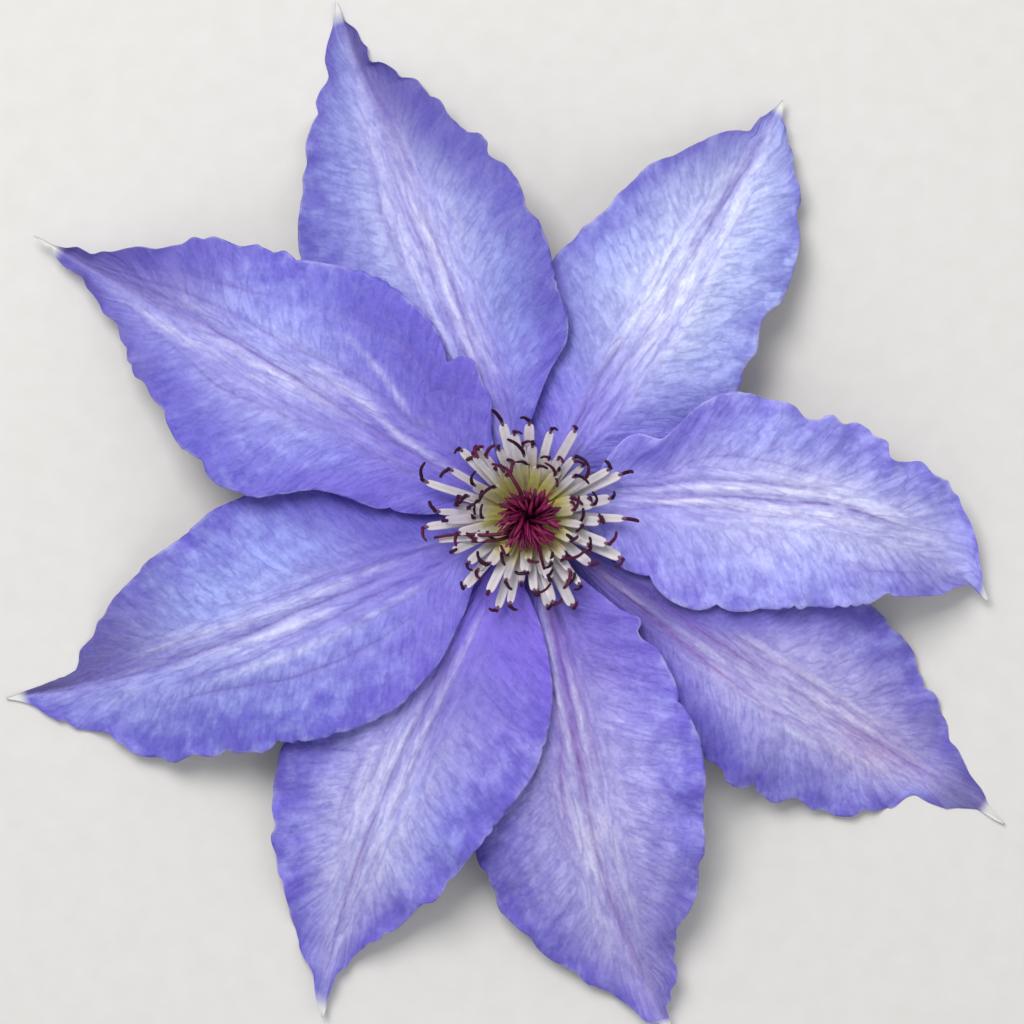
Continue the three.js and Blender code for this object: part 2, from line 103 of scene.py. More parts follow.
# Clockwise from the top. A pair of values is for the anticlockwise (ccw) and the clockwise (cw) side.
# The margins ccw and cw, in pairs of the distance along the line to the tip and the distance from it, and
# the notches, in pairs of the distance along it and the depth. From the distances in close on, a margin's
# own points carry its lobes.
# pale and wide say how pale and wide a sepal's middle is, and warm and root how much of the pinkish tint and
# the deep violet root it shows. light is how light it is, end how dull its end is and shaded how deep it
# lies in the painted shade of its neighbour's margin. cool is how blue its violet is, bright and tip are how
# bright its flanks and its tip are, and foot its root. light, end, bright, tip and foot are partly the
# tissue's colour and partly painted light and shade, one side lit and the other shaded, an end or a root
# darker where shade falls on it.
# Veins and pale crests run, and the tints deep, blue, mauve and blush lie, where threes of the share of the
# length, the share of the half width and the strength say, all in percent.
SEPALS = [dict(
    toward=110.4, length=86.6, midrib=(-2.2, -0.4, 0.1), over=(False, True), droop=6.3, close=(51, 38.5),
    pale=0.6, wide=0.86, warm=0.2, root=0.4, light=(0.32, 0.2), end=(0.25, 0.95), cool=0.9,
    bright=(0.88, 0.87), tip=(0.82, 0.83),
    ccw=(10.3, 5, 20.6, 13, 31, 18, 41, 19.8, 51, 19.1, 58, 16.3, 59.5, 15.4, 61.5, 14.8, 63.5, 13.3,
         66, 12.6, 69.5, 10, 70.5, 8.9, 72, 8.6, 74, 6.8, 74.5, 5.9, 75.5, 5.1, 77.5, 5, 79, 4.4, 83, 1.6,
         84, 1.2),
    cw=(10.3, -3.2, 14, -6.2, 18, -9.6, 19.8, -11.4, 21.4, -13.4, 23, -15.2, 26, -16.5, 28.1, -16.8,
        31, -16.7, 38.5, -17.8, 42, -17.7, 43, -17.1, 45, -16.5, 46, -16.8, 48.5, -16.9, 52, -15.9,
        54, -14.2, 54.5, -14, 56.5, -14.6, 57.5, -14.3, 58.5, -13.7, 59, -12.4, 59.5, -12, 63, -10.3,
        65, -10.1, 66, -9.5, 66.5, -8.8, 69.5, -7.9, 70.5, -6.9, 71, -5.6, 72.5, -5, 74.5, -3.3, 75, -2,
        76.5, -1.8, 77.5, -2.2, 78.5, -1.7, 80.5, -1.5, 83, -0.2),
    veins=[(46, 27, 40, 58, 28, 50, 68, 24, 30), (30, 13, 40, 42, 12, 60, 52, 7, 70, 68, 7, 30),
           (30, 6, 40, 42, -1, 70, 52, -4, 60, 64, -5, 30), (40, -22, 0, 70, -13, 30, 82, -10, 40)],
    crests=[(36, 22, 60, 48, 21, 70, 56, 18, 30), (32, 8, 80, 42, 4, 90, 52, 0, 80, 62, 1, 40),
            (30, -3, 40, 38, -5, 40, 46, -9, 30)],
    deep=(30, -85, 60, 40, -90, 40, 66, -65, 50, 76, -70, 60, 86, -60, 30, 52, 70, 20),
    blue=(32, -40, 70, 43, -60, 40, 72, 60, 40, 86, 50, 50),
    mauve=(56, 5, 40, 70, 5, 30, 90, -20, 80, 50, -90, 30, 63, -85, 30, 60, 90, 20, 73, 95, 20),
), dict(
    toward=58.3, length=77, midrib=(-0.9, -0.8, -0.3), over=(False, False), droop=4.2, close=(36.5, 37),
    pale=1, wide=1.05, warm=0.05, root=0.7, light=(0.52, 0.95), end=(0.4, 0), shaded=(0.4, 0), cool=0.8,
    bright=(0.91, 0.94), tip=(1.03, 0.86), foot=1.12,
    ccw=(9.2, 5, 18.5, 13, 27.7, 17.3, 35, 17.5, 36.5, 17.5, 40.5, 16.3, 42.5, 16.2, 44, 15.5, 48.5, 14.5,
         49.5, 14.5, 52, 13.6, 56, 12.8, 60.5, 9.6, 63.5, 7.9, 66.5, 5.8, 68.5, 3.7, 69, 2.6, 69.5, 1.9,
         72, 1.7, 73, 1.1),
    cw=(9.2, -4.2, 18.5, -12, 27.7, -16.8, 34, -17.8, 37, -16.8, 40, -17.2, 45, -15.4, 47.5, -15.7,
        48.5, -16.3, 49.5, -16.3, 58, -14.3, 63, -11, 64, -10.8, 66, -9.4, 67.5, -7.5, 70, -5.8, 71.5, -3.7,
        73, -2.6, 73.5, -1.7),
    veins=[(22, 14, 60, 34, 13, 60, 46, 11, 10, 60, 10, 0, 72, 6, 40, 86, 3, 20),
           (23, 9, 70, 30, 6, 60, 36, 2, 30, 50, -4, 20, 60, 1, 30, 74, 0, 70, 82, -3, 80, 93, -8, 40),
           (24, -10, 60, 34, -15, 40, 46, -20, 50, 60, -22, 30)],
    crests=[(40, 13, 30, 50, 14, 50, 62, 24, 50), (44, -9, 50, 56, -14, 60, 64, -8, 30),
            (36, -22, 30, 46, -28, 60, 60, -30, 50)],
    deep=(42, 65, 25, 35, -70, 40, 24, -40, 30, 85, 65, 30),
    blue=(30, 50, 60, 52, 60, 40, 70, -75, 40, 86, 40, 30),
    mauve=(93, 80, 80),
), dict(
    toward=-10.6, length=74.2, midrib=(6.5, 10.1, 6.8), over=(True, True), droop=4.6, close=(33.5, 57.5),
    pale=1, wide=0.79, warm=0.15, root=0.35, light=(0.72, 0.78), end=(0, 0.25), bright=(1.01, 1.01),
    tip=(1.08, 0.98), foot=1.04,
    ccw=(9, 7, 10.5, 11, 13.2, 15, 14.8, 15.7, 18, 15.4, 19.8, 17.3, 22, 20.5, 24, 22.6, 26.5, 24.3,
         29.4, 25, 33.5, 24.6, 36, 24.7, 37.5, 24.3, 40, 22.7, 42, 23.1, 42.5, 23.8, 43.5, 24, 45.5, 23.1,
         47.5, 23.6, 49.5, 23, 50.5, 22.1, 52.5, 21.7, 53, 21.3, 53.5, 19.5, 54.5, 19, 55.5, 18.9,
         58.5, 19.6, 61, 18, 63.5, 17.4, 64.5, 16.1, 65.5, 15.4, 66.5, 13.8, 68.5, 11.4, 70.5, 7.5, 71, 5.6,
         71.5, 4.7, 72, 2.9),
    cw=(9, -0.2, 12, -2.2, 16, -5.4, 19, -6.2, 21.3, -7.6, 25, -9.3, 28, -9.8, 32, -8.9, 35, -8.7, 40, -7.4,
        45, -6.3, 50, -5.2, 55, -3.4, 57.5, -1.6, 58, -1.8, 65.5, -0.4, 66.5, 0.1, 67.5, 1, 70, 2,
        71.5, 1.5),
    notches_cw=(20.3, 1.3, 31.3, 0.9, 38, 0.5, 43, 0.4, 47.5, 0.4),
    veins=[(30, 36, 40, 40, 38, 50, 50, 37, 50, 58, 33, 30),
           (20, 15, 30, 30, 15, 50, 42, 14, 50, 50, 14, 50, 58, 17, 30),
           (26, -4, 50, 40, -1, 80, 50, -2, 100, 60, 0, 100, 70, 4, 90, 78, 8, 40),
           (21, -20, 70, 30, -12, 50, 40, -12, 40, 50, -17, 40, 62, -17, 20),
           (68, -55, 30, 78, -62, 60, 84, -56, 30)],
    crests=[(48, 26, 30, 56, 22, 50, 64, 22, 30),
            (26, 7, 70, 42, 7, 100, 50, 9, 70, 60, 11, 60, 70, 10, 70, 78, 13, 30),
            (26, -7, 70, 36, -6, 100, 50, -10, 80, 62, -11, 50)],
    deep=(22, 65, 80, 30, 80, 50, 60, 75, 40, 24, -50, 40, 85, 35, 25, 84, -35, 20),
    blue=(46, 60, 30, 35, -45, 40, 60, -50, 30),
    mauve=(42, -30, 25, 94, -60, 60),
), dict(
    toward=-32.9, length=90, midrib=(-1.6, -1.2, -0.3), over=(False, False), droop=6.3, close=(53, 44.5),
    pale=0.72, wide=0.78, warm=0.7, root=0.75, light=(0.42, 0.55), end=(0.35, 0.2), shaded=(1, 0.6),
    bright=(1, 1.02), tip=(0.67, 0.57), foot=0.74,
    ccw=(10.8, 3.8, 21.6, 10.5, 32.4, 15.5, 43.2, 17.5, 53, 17.5, 55.5, 17, 57.5, 16.1, 58.5, 16.2,
         62.5, 15.1, 65, 12.8, 66, 12.4, 66.5, 11.6, 67, 11.3, 68.5, 11.5, 70, 10.8, 71.5, 9.3, 73.5, 8.2,
         75, 6.4, 76.5, 6, 81, 3.4, 82.5, 3, 84, 2.3, 86, 0.9, 88, 0.4),
    cw=(10.8, -4.6, 21.6, -9.5, 32.4, -13.5, 43, -16.4, 44.5, -17.2, 45, -16.7, 46, -16.8, 47.5, -17.3,
        48.5, -18.2, 49.5, -18.2, 52, -17, 52.5, -15.7, 53, -16.7, 56, -17.1, 57, -16.9, 59.5, -14.4,
        62.5, -14.6, 64.5, -13.7, 65.5, -13.6, 68.5, -12, 69.5, -10.1, 71.5, -9.2, 72.5, -8, 73, -7.8,
        73.5, -6.9, 74, -5.1, 75.5, -3.7, 77, -3.7, 80, -3.1, 82, -1.8, 85.5, -0.2, 86, -0.3),
    veins=[(44, 17, 30, 60, 17, 50, 72, 15, 30),
           (18, 10, 100, 26, 11, 90, 34, 7, 80, 45, 5, 50, 56, 5, 30, 70, 4, 50, 82, 4, 30),
           (19, -10, 100, 26, -12, 100, 31, -16, 90, 38, -20, 80, 50, -22, 40, 62, -22, 20)],
    crests=[(44, 20, 50, 60, 21, 60, 70, 20, 30), (20, 0, 70, 30, -3, 50, 42, -8, 30),
            (58, 10, 30, 66, 10, 60, 74, 13, 40), (60, -30, 40, 74, -24, 50)],
    deep=(44, -75, 50, 60, -85, 40, 42, 35, 40, 84, 80, 40, 93, 0, 65),
    blush=(73, -6, 70),
    blue=(62, -45, 20),
    mauve=(22, 10, 100, 34, 0, 60, 45, 10, 40, 80, 70, 40, 93, 0, 20),
), dict(
    toward=-74.6, length=84.6, midrib=(-1.4, -3.4, -2.1), over=(True, False), droop=3.6, close=(45, 49.5),
    pale=0.65, wide=0.78, warm=0.7, root=0.85, light=(0.48, 0.36), end=(0.45, 0.2), shaded=(0, 0.4),
    bright=(1.05, 0.99), tip=(0.93, 0.98),
    ccw=(10.2, 4.6, 15, 8, 17.7, 10, 18.9, 11.4, 20.1, 12.7, 20.9, 12.6, 21.8, 11.8, 22.8, 12, 25, 13.9,
         30, 15.2, 36, 16, 40, 16.6, 45, 16.2, 47, 15.8, 50.5, 14.5, 57.5, 12.9, 58.5, 12.4, 59, 11.8,
         60, 11.2, 61.5, 10.9, 63.5, 10.1, 66.5, 7.8, 68.5, 5.3, 70, 4.9, 70.5, 4.4, 71, 4.6, 73.5, 3.6,
         74, 3.8, 76.5, 3.1, 78, 1.8, 79, 1.7, 80, 0.5, 82.5, 0.6),
    cw=(10.2, -4, 20.3, -10, 30.5, -16, 40.6, -20.3, 49.5, -21.8, 50.5, -21.8, 52.5, -20.9, 53.5, -21,
        55.5, -20.6, 57.5, -20.8, 61, -19.3, 64, -17.1, 65.5, -16.6, 68.5, -14.6, 69.5, -13.3, 70, -13,
        71, -11.8, 73.5, -10.3, 74, -9.3, 74.5, -8.9, 75, -8.1, 77, -6.2, 79, -4.6, 81.5, -3, 82, -1.3),
    notches_ccw=(33.8, 0.9),
    veins=[(19, 14, 50, 30, 14, 50, 38, 16, 40, 46, 17, 30), (18, 4, 100, 30, 4, 100, 38, 6, 80, 44, 6, 40),
           (34, -1, 40, 42, 2, 90, 50, 3, 80, 56, 2, 40, 64, -1, 50, 74, -2, 60, 86, -3, 40),
           (30, -12, 40, 40, -10, 70, 50, -17, 60, 60, -20, 30)],
    crests=[(32, 11, 60, 38, 11, 100, 43, 11, 50), (18, -8, 80, 26, -6, 100, 36, -5, 100, 43, -4, 60),
            (56, -6, 40, 66, -5, 50)],
    deep=(22, 65, 60, 90, -60, 20),
    blue=(68, -35, 30),
    mauve=(30, 20, 40, 45, 5, 50, 52, -30, 40, 82, 75, 80, 93, 20, 50, 66, -90, 40),
), dict(
    toward=-112.1, length=85.6, midrib=(-1.9, -3.9, -2.8), over=(True, False), droop=4.7, close=(53, 47.5),
    pale=0.8, wide=0.74, warm=0.25, root=1, light=(0.32, 0.36), end=(0.2, 0.1), shaded=(0, 0.4),
    bright=(1.01, 1.02), tip=(1.02, 0.9), foot=1.14,
    ccw=(10.3, 3.8, 12, 5.6, 15, 8.4, 17, 10, 20, 12, 23, 13.7, 26, 14.8, 30, 15.7, 36, 16.2, 41, 15.1,
         47, 13.4, 53, 11.7, 56, 11, 57.5, 10.1, 58.5, 10.2, 60.5, 9.6, 61.5, 8.8, 62, 7.9, 66, 6.3,
         68.5, 4.6, 69, 3.8, 69.5, 3.8, 70.5, 3.2, 71.5, 2.2, 74, 1.1, 76.5, 0.4, 77, -0.1, 78, -0.5,
         82, -0.4),
    cw=(10.3, -4.3, 20.5, -10.5, 30.8, -16.5, 41, -20.6, 47.5, -21.9, 54, -20.9, 57.5, -19.7, 60.5, -18.1,
        61, -18.3, 62.5, -17.8, 64, -16.5, 66.5, -15.2, 67.5, -14.1, 73, -10.1, 74.5, -8.7, 77, -7,
        79, -4.3, 82.5, -2.2),
    veins=[(32, 8, 30, 44, 10, 50, 56, 12, 30),
           (30, -2, 70, 40, -3, 70, 50, -3, 50, 60, -2, 40, 70, -3, 70, 84, -3, 50),
           (42, -20, 40, 56, -20, 30), (50, -33, 40, 62, -34, 40)],
    crests=[(60, 25, 30, 72, 25, 40), (24, 6, 60, 32, 5, 70, 42, 6, 60, 52, 8, 50, 62, 13, 60, 70, 16, 30),
            (41, -7, 70, 48, -8, 90, 56, -10, 50)],
    deep=(26, 50, 40, 37, 15, 70, 50, 30, 40),
    blue=(57, 20, 30, 60, 75, 30),
    mauve=(93, 0, 30, 91, 60, 50),
), dict(
    toward=-160.6, length=87.3, midrib=(1.8, 3, 2), over=(True, False), droop=6.3, close=(49.5, 52.5),
    pale=0.38, wide=0.78, warm=0.05, root=0.7, light=(0.3, 0.45), end=(0.15, 0.95), shaded=(0, 0.9),
    cool=0.9, bright=(0.99, 0.94), tip=(1, 0.58),
    ccw=(10.5, 6.6, 14, 11, 17, 14, 20, 16.9, 22.8, 18.6, 26, 20.3, 28, 21.3, 31, 22, 35, 22.4, 41, 22,
         47, 21.3, 49.5, 21.4, 51, 21.4, 52, 20.8, 54, 20.4, 55, 20.1, 56, 19.2, 58, 19.5, 62, 18.1,
         64.5, 18.4, 65.5, 18, 66.5, 17, 68.5, 16.2, 70.5, 14.8, 71.5, 13.1, 72.5, 12.1, 73, 10.7, 77, 8.8,
         78, 8, 79, 6.4, 80, 6.1, 80.5, 5.6, 82, 3.9, 82.5, 3, 84.5, 1.3),
    cw=(10.5, -4.6, 21, -12.5, 31.4, -16.8, 41, -17.5, 45, -17.2, 50, -15.7, 52.5, -14.6, 58.5, -12.9,
        60.5, -11.7, 64.5, -9.8, 66, -8.9, 68, -7.1, 69, -6.6, 70.5, -4.7, 73, -3.4, 73.5, -2.9, 74, -1.7,
        75, -0.5, 81, -0.1),
    notches_ccw=(48, 1.2),
    notches_cw=(50.8, 0.4),
    veins=[(28, 44, 60, 40, 46, 90, 50, 47, 90, 57, 42, 80, 65, 40, 70, 72, 43, 40),
           (20, 13, 60, 30, 10, 70, 40, 14, 70, 48, 17, 60, 55, 22, 70, 66, 23, 50),
           (33, -1, 70, 45, -2, 100, 50, 0, 100, 60, 1, 100, 70, 3, 90, 80, 5, 80, 92, 6, 60),
           (50, -5, 40, 60, -10, 50, 66, -13, 30), (19, -15, 50, 30, -14, 60, 36, -18, 60, 50, -17, 30)],
    crests=[(24, 22, 40, 34, 24, 50, 42, 27, 50, 58, 30, 40), (42, 7, 80, 48, 6, 90, 56, 7, 50),
            (28, -12, 40, 44, -10, 70, 54, -9, 90, 62, -13, 70, 72, -15, 40)],
    deep=(24, -45, 90, 34, -85, 80, 57, 70, 20, 66, 55, 10),
    blue=(42, -50, 80, 58, -40, 60, 28, 35, 40, 70, 20, 30),
    mauve=(80, -50, 60, 91, -45, 100, 93, 90, 40),
), dict(
    toward=150.5, length=89.4, midrib=(0.8, 0.2, 0), over=(True, True), droop=4, close=(41, 52.5),
    pale=0.36, wide=0.85, warm=0.15, root=0.65, light=(0.08, 0.24), end=(0.3, 1), cool=0.7,
    bright=(1.01, 1.05), tip=(0.96, 0.96),
    ccw=(10.7, 5.5, 13.5, 7.6, 17.8, 9.7, 20, 10.6, 26, 11.5, 30, 12.7, 35, 16.3, 38, 18.4, 41, 19.2,
         43, 19.6, 44.5, 19.5, 46.5, 18.9, 48, 17.6, 51, 17.6, 56, 14.8, 57, 13.7, 59, 13.3, 62.5, 11.4,
         63.5, 11.4, 64.5, 10.9, 65, 10.3, 66, 9.8, 66.5, 9.2, 67, 8.2, 68.5, 7.6, 70.5, 5.6, 71, 5.4,
         73.5, 5, 74.5, 4.2, 76, 3.4, 77, 3.2, 79, 1.9, 81, 1.9, 84.5, 1.1, 85.5, 0.1, 86, 0.4),
    cw=(10.7, -8, 13.7, -13, 15.7, -14.3, 19.3, -16.9, 21, -16.4, 22.3, -14.6, 23.2, -15.6, 24.5, -17,
        27, -18.6, 31, -19.9, 37, -20.7, 45, -19.2, 50.6, -17.4, 52.5, -17.4, 54.5, -16.2, 56.5, -16.2,
        59.5, -14.5, 63.5, -14, 64.5, -13.4, 65, -12.7, 66.5, -12.4, 67, -12, 67.5, -10.8, 69.5, -8.8,
        71, -7.7, 73.5, -6.7, 76.5, -4.2, 78, -3.4, 79, -2.3, 80, -1.9, 81.5, -1.9, 83.5, -0.8, 87, -0.1),
    notches_ccw=(19, 0.8),
    notches_cw=(50.5, 0.5),
    veins=[(19, 25, 50, 30, 25, 60, 36, 22, 30, 50, 27, 50, 55, 33, 90, 60, 36, 70, 67, 35, 40),
           (38, 15, 30, 50, 15, 50, 62, 14, 30),
           (18, -2, 50, 30, -3, 60, 40, -4, 80, 50, -6, 100, 60, -7, 90, 70, -8, 60, 80, -7, 30),
           (25, -28, 40, 35, -28, 40, 50, -26, 40, 65, -30, 50, 80, -28, 40),
           (24, -65, 40, 32, -70, 60, 41, -66, 40, 53, -62, 20, 62, -55, 60, 75, -50, 40)],
    crests=[(62, 12, 30, 70, 20, 60, 76, 20, 30), (40, 0, 40, 50, -1, 80, 60, 0, 50),
            (19, -7, 60, 26, -10, 80, 32, -15, 70, 42, -20, 70), (26, -31, 30, 34, -42, 60, 41, -50, 30)],
    deep=(28, -70, 80, 40, -75, 70, 50, -85, 40, 58, 65, 40, 70, 70, 40, 75, -75, 60, 84, -60, 40),
    blue=(35, 45, 40, 55, -40, 40),
    mauve=(88, -50, 70, 95, 0, 80, 84, 30, 20, 76, 95, 80, 90, 80, 100),
)]

GOLDEN_ANGLE = 137.508

# Stamens: the ones that the boss's solid has, and shorter ones between them. A pair of values goes from the
# innermost to the outermost stamen, or from the least to the most that draws give. uneven is how far draws
# move the azimuth, the rise and the length.
STAMEN_KINDS = (
    dict(count=66, turned=0, uneven=(14, 7, 1.8), rise=(64, 20), rise_power=0.8, length=(7.4, 13.6),
         anther=(1.8, 5), anther_power=2.2, curl=(14, 48), girth=(0.78, 1.28),
         draws=(3, 4, 5, 6, 7, 8, 12, 11, 13)),
    dict(count=34, turned=60, uneven=(20, 8, 1.6), rise=(56, 27), rise_power=1, length=(6.4, 10),
         anther=(1.5, 3.2), anther_power=1, curl=(20, 50), girth=(0.7, 1),
         draws=(23, 24, 25, 26, 27, 28, 22, 21, 29)),
)
FILAMENT_ROOT_RADIUS = (2.5, 2.9)
FILAMENT_ROOT_HEIGHT = (15.9, 14.8)
FILAMENT_SAG = 3
STRAP_HALF_WIDTHS = (0.42, 0.74, 0.68)  # at its root, middle and end
STRAP_HALF_THICKNESS = 0.2
ANTHER_LEAN = (-100, 100)
STRAY_STRAP = [(-2.4, -2.7, 18.6), (-4.5, -3.3, 20.4), (-9, -3.6, 20.4), (-13.6, -3.9, 18.9)]
STRAY_STRAP_HALVES = (0.46, 0.16)
RING_PROFILE = [(2, 14.1), (3.5, 14.1), (4, 15.1), (3.4, 16.1), (2.4, 16.7), (2, 16.7)]

# Styles: the ones that the tuft's solid has, finer ones between them and a few that stray outwards
STYLE_KINDS = (
    dict(count=22, turned=40, uneven=(0, 1.2), share_power=1, shorter=0, swirl=(14, 30), spread=1.75,
         girth=(0.68, 0), draws=(18, 9, 10, 19, 14)),
    dict(count=110, turned=110, uneven=(50, 2.2), share_power=0.6, shorter=0.3, swirl=(-12, 44), spread=2,
         girth=(0.34, 0.32), draws=(18, 15, 16, 19, 17)),
)
STYLE_ROOT_HEIGHT = 17.85
STYLE_TILT = (4, 17)
STYLE_LENGTH = (7.9, 6.9)
STYLE_BEND = (30, 55)
STYLE_PARTS = (0.45, 0.3, 0.25)
STYLE_HALF_WIDTHS = (0.3, 0.46, 0.46, 0.26)
TUFT_LEAN = (0.28, -0.7)  # how far its tips stand from the axis
STRAY_STYLES = [
    [(-1.2, -1.4, 20), (-2.6, -2.6, 22.2), (-6, -3.1, 22.2), (-10.5, -3, 21), (-14.4, -3.5, 19.6)],
    [(-1.6, -2.2, 20), (-3, -3.4, 21.2), (-5.5, -4, 21.3), (-8.6, -4.1, 20.8)],
    [(-0.6, 1.4, 20), (-1, 3.4, 22.8), (-2.1, 5.4, 23.2), (-3.3, 7.2, 22.4), (-5.4, 7.9, 21.2)],
    [(1, -1.6, 20), (1.8, -4.2, 22.6), (2.2, -6.6, 22), (2.9, -9.3, 20.2)],
]
STRAY_HALF_WIDTH = 0.36
STRAY_RINGS = 26
TUFT_PROFILE = [(0, 17.3), (2.3, 17.3), (2.1, 18.4), (0, 18.6)]

# The cut stalk, as (reach, sideways, height) points towards one side, and the receptacle it carries
STALK_TOWARD = 246
STALK_RADIUS = 1.25
STALK_PATH = [
    (0, 0, 12.6), (0.1, 0, 9.6), (1.6, 0.1, 5.4), (6.5, 0.4, 2.5),
    (14, 0.9, 1.75), (24, 2.2, 1.75), (35, 2.6, 1.85), (46, 1.4, 1.95),
]
STALK_RINGS = 120
STALK_SIDES = 36
RECEPTACLE_PROFILE = [
    (0, 9.6), (1.2, 9.6), (1.9, 11), (3.1, 12.2), (3.5, 12.6), (3.5, 13.8), (1.7, 13.8), (1.7, 16.4),
    (1, 17), (0, 17),
]


def smoothstep(x, low, high):
    s = np.clip((x - low) / (high - low), 0, 1)
    return s * s * (3 - 2 * s)


def fade(x, low, high):
    return 1 - smoothstep(x, low, high)


def lerp(pair, share):
    return pair[0] + (pair[1] - pair[0]) * share


def curve_through(xs, ys):
    """A smooth curve through the given points that never overshoots them."""
    xs, ys = np.array(xs, float), np.array(ys, float)
    slopes = np.diff(ys) / np.diff(xs)
    before, after = np.r_[slopes[0], slopes], np.r_[slopes, slopes[-1]]
    rising = before * after > 0
    tangents = np.where(rising, 2 * before * after / np.where(rising, before + after, 1), 0)

    def curve(x):
        i = np.clip(np.searchsorted(xs, x, side="right") - 1, 0, len(xs) - 2)
        step = xs[i + 1] - xs[i]
        s = np.clip((x - xs[i]) / step, 0, 1)
        rise = s * s * (3 - 2 * s)
        bend = step * s * (1 - s) * ((1 - s) * tangents[i] - s * tangents[i + 1])
        return ys[i] * (1 - rise) + ys[i + 1] * rise + bend

    return curve


def draw(item, purpose):
    """A repeatable draw from 0 to 1 for each item and each purpose."""
    wave = math.sin(item * 12.9898 + purpose * 78.233 + 0.5) * 43758.5453
    return wave - math.floor(wave)


def lattice(i, j, seed):
    wave = np.sin(i * 127.1 + j * 311.7 + seed * 74.7) * 43758.5453
    return 2 * (wave - np.floor(wave)) - 1


def noise(x, y, seed):
    """Smooth noise from -1 to 1, with features about one unit across."""
    i, j = np.floor(x), np.floor(y)
    u, w = smoothstep(x - i, 0, 1), smoothstep(y - j, 0, 1)
    near, far = (lattice(i, k, seed) * (1 - u) + lattice(i + 1, k, seed) * u for k in (j, j + 1))
    return near * (1 - w) + far * w


def in_row_frame(points):
    return (np.asarray(points) + AXIS) * MM


def put_in_scene(name, data):
    thing = bpy.data.objects.new(name, data)
    bpy.context.collection.objects.link(thing)
    return thing


def make_piece(name, points, faces, node, material, uvs=None, marks=None):
    """A piece from points in millimetres. uvs are two numbers a point for each UV map, and marks one."""
    mesh = bpy.data.meshes.new(name)
    mesh.from_pydata(in_row_frame(points).tolist(), [], faces)
    mesh.shade_smooth()
    corners = np.empty(len(mesh.loops), np.int32)
    mesh.loops.foreach_get("vertex_index", corners)
    for uv_name, values in (uvs or {}).items():
        layer = mesh.uv_layers.new(name=uv_name)
        layer.data.foreach_set("uv", np.asarray(values, np.float32)[corners].ravel())
    for mark_name, values in (marks or {}).items():
        attribute = mesh.attributes.new(mark_name, "FLOAT", "POINT")
        attribute.data.foreach_set("value", np.asarray(values, np.float32).ravel())
    mesh.materials.append(material)
    piece = put_in_scene(name, mesh)
    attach(piece, "root")
    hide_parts(node)


saucer = curve_through(
    [3.8, 10, 18, 27, 36, 46, 57, 68, 77, 92],
    [13, 14.1, 15, 15.4, 15.2, 13.9, 11.4, 8.2, 6.3, 6.9],
)
margin_curl = curve_through([0, 0.4, 0.62, 0.82, 1], [0, 0, -0.7, 0.7, 0.5])
groove = curve_through([0, 0.12, 0.3, 0.75, 0.92, 1], [0, 0, 1, 0.8, 0, 0])


def smoothed(values, reach):
    """The running mean over reach neighbours on either side, taken twice."""
    window = np.ones(2 * reach + 1) / (2 * reach + 1)
    for _ in range(2):
        values = np.convolve(np.pad(values, reach, mode="edge"), window, mode="valid")
    return values


def lobed(along, t, close, seed):
    """How far the lobes and the crimps move a margin outwards."""
    phase = along / LOBE_LENGTH + 0.9 * noise(along / 5, 0.5, seed)
    lobe = np.floor(phase)
    skewed = (phase - lobe) ** (1.1 + 0.6 * lattice(lobe, 1, seed))
    lobes = (0.6 + 0.45 * lattice(lobe, 2, seed)) * (np.sin(np.pi * skewed) ** 0.6 - 0.6)
    lobes *= smoothstep(noise(along / 8, 7.5, seed), -0.6, 0.3)
    lobes *= fade(along, close - 4, close)
    crimp = 0.1 * noise(along / 0.8, 3.5, seed) + 0.1 * noise(along / 1.7, 9.5, seed)
    return smoothstep(t, 0.2, 0.45) * (LOBE_DEPTH * lobes + crimp * fade(t, 0.9, 0.95))


def sepal_margin(sepal, order, side, t, midrib):
    """How far a margin is from the midrib at each t: a smooth course, and the lobes and notches on it."""
    cw = side == "cw"
    sign, along = 1 - 2 * cw, t * sepal["length"]
    places, distances = np.reshape(sepal[side], (-1, 2)).T
    outline = curve_through(
        [t[0], *(places / LENGTH_SEEN / sepal["length"]), 1],
        [float(midrib(t[0])) + sign * BASE_HALF_WIDTH, *distances, sign * TIP_HALF_WIDTH],
    )
    exact = sign * (outline(t) - midrib(t))
    exact = np.maximum(exact, SPIKE_HALF_WIDTH * np.clip((1 - t) / 0.02, 0, 1) ** 0.5)
    course = exact + (smoothed(exact, 6) - exact) * smoothstep(t, 0.25, 0.4) * fade(t, 0.8, 0.9)

    dent = np.zeros_like(t)
    for place, depth in np.reshape(sepal.get(f"notches_{side}", ()), (-1, 2)):
        dent += depth * np.exp(-np.abs(along - place / LENGTH_SEEN) / NOTCH_REACH)
    lobes = lobed(along, t, sepal["close"][cw], 2 * order + 1 + cw)
    change = exact - course + lobes - np.minimum(dent, 0.25 * course)
    return course, np.maximum(change, -0.3 * course)


def strokes(lines, reach, stations, across, midrib, halves):
    """How much each point is on the lines, how far sideways of the nearest, and how strong that one is."""
    gaps, strengths = [], []
    for line in lines:
        places, shares, strength = np.reshape(line, (-1, 3)).T / 100
        share = curve_through(places, shares)(stations)
        course = midrib(stations) + share * np.where(share < 0, halves[1], halves[0])
        fading = curve_through([places[0] - 0.06, *places, places[-1] + 0.06], [0, *strength, 0])
        gaps.append(across - course[:, None])
        strengths.append(fading(stations)[:, None] + 0 * across)
    gaps, strengths = np.array(gaps), np.array(strengths)
    # Its sign changes at each line, so that it passes smoothly through 0 there
    beside = np.abs(gaps).min(axis=0) * (-1.0) ** np.sum(gaps < 0, axis=0)
    strength = np.take_along_axis(strengths, np.abs(gaps).argmin(axis=0)[None], axis=0)[0]
    return np.sum(strengths * np.exp(-((gaps / reach) ** 2)), axis=0), beside, strength


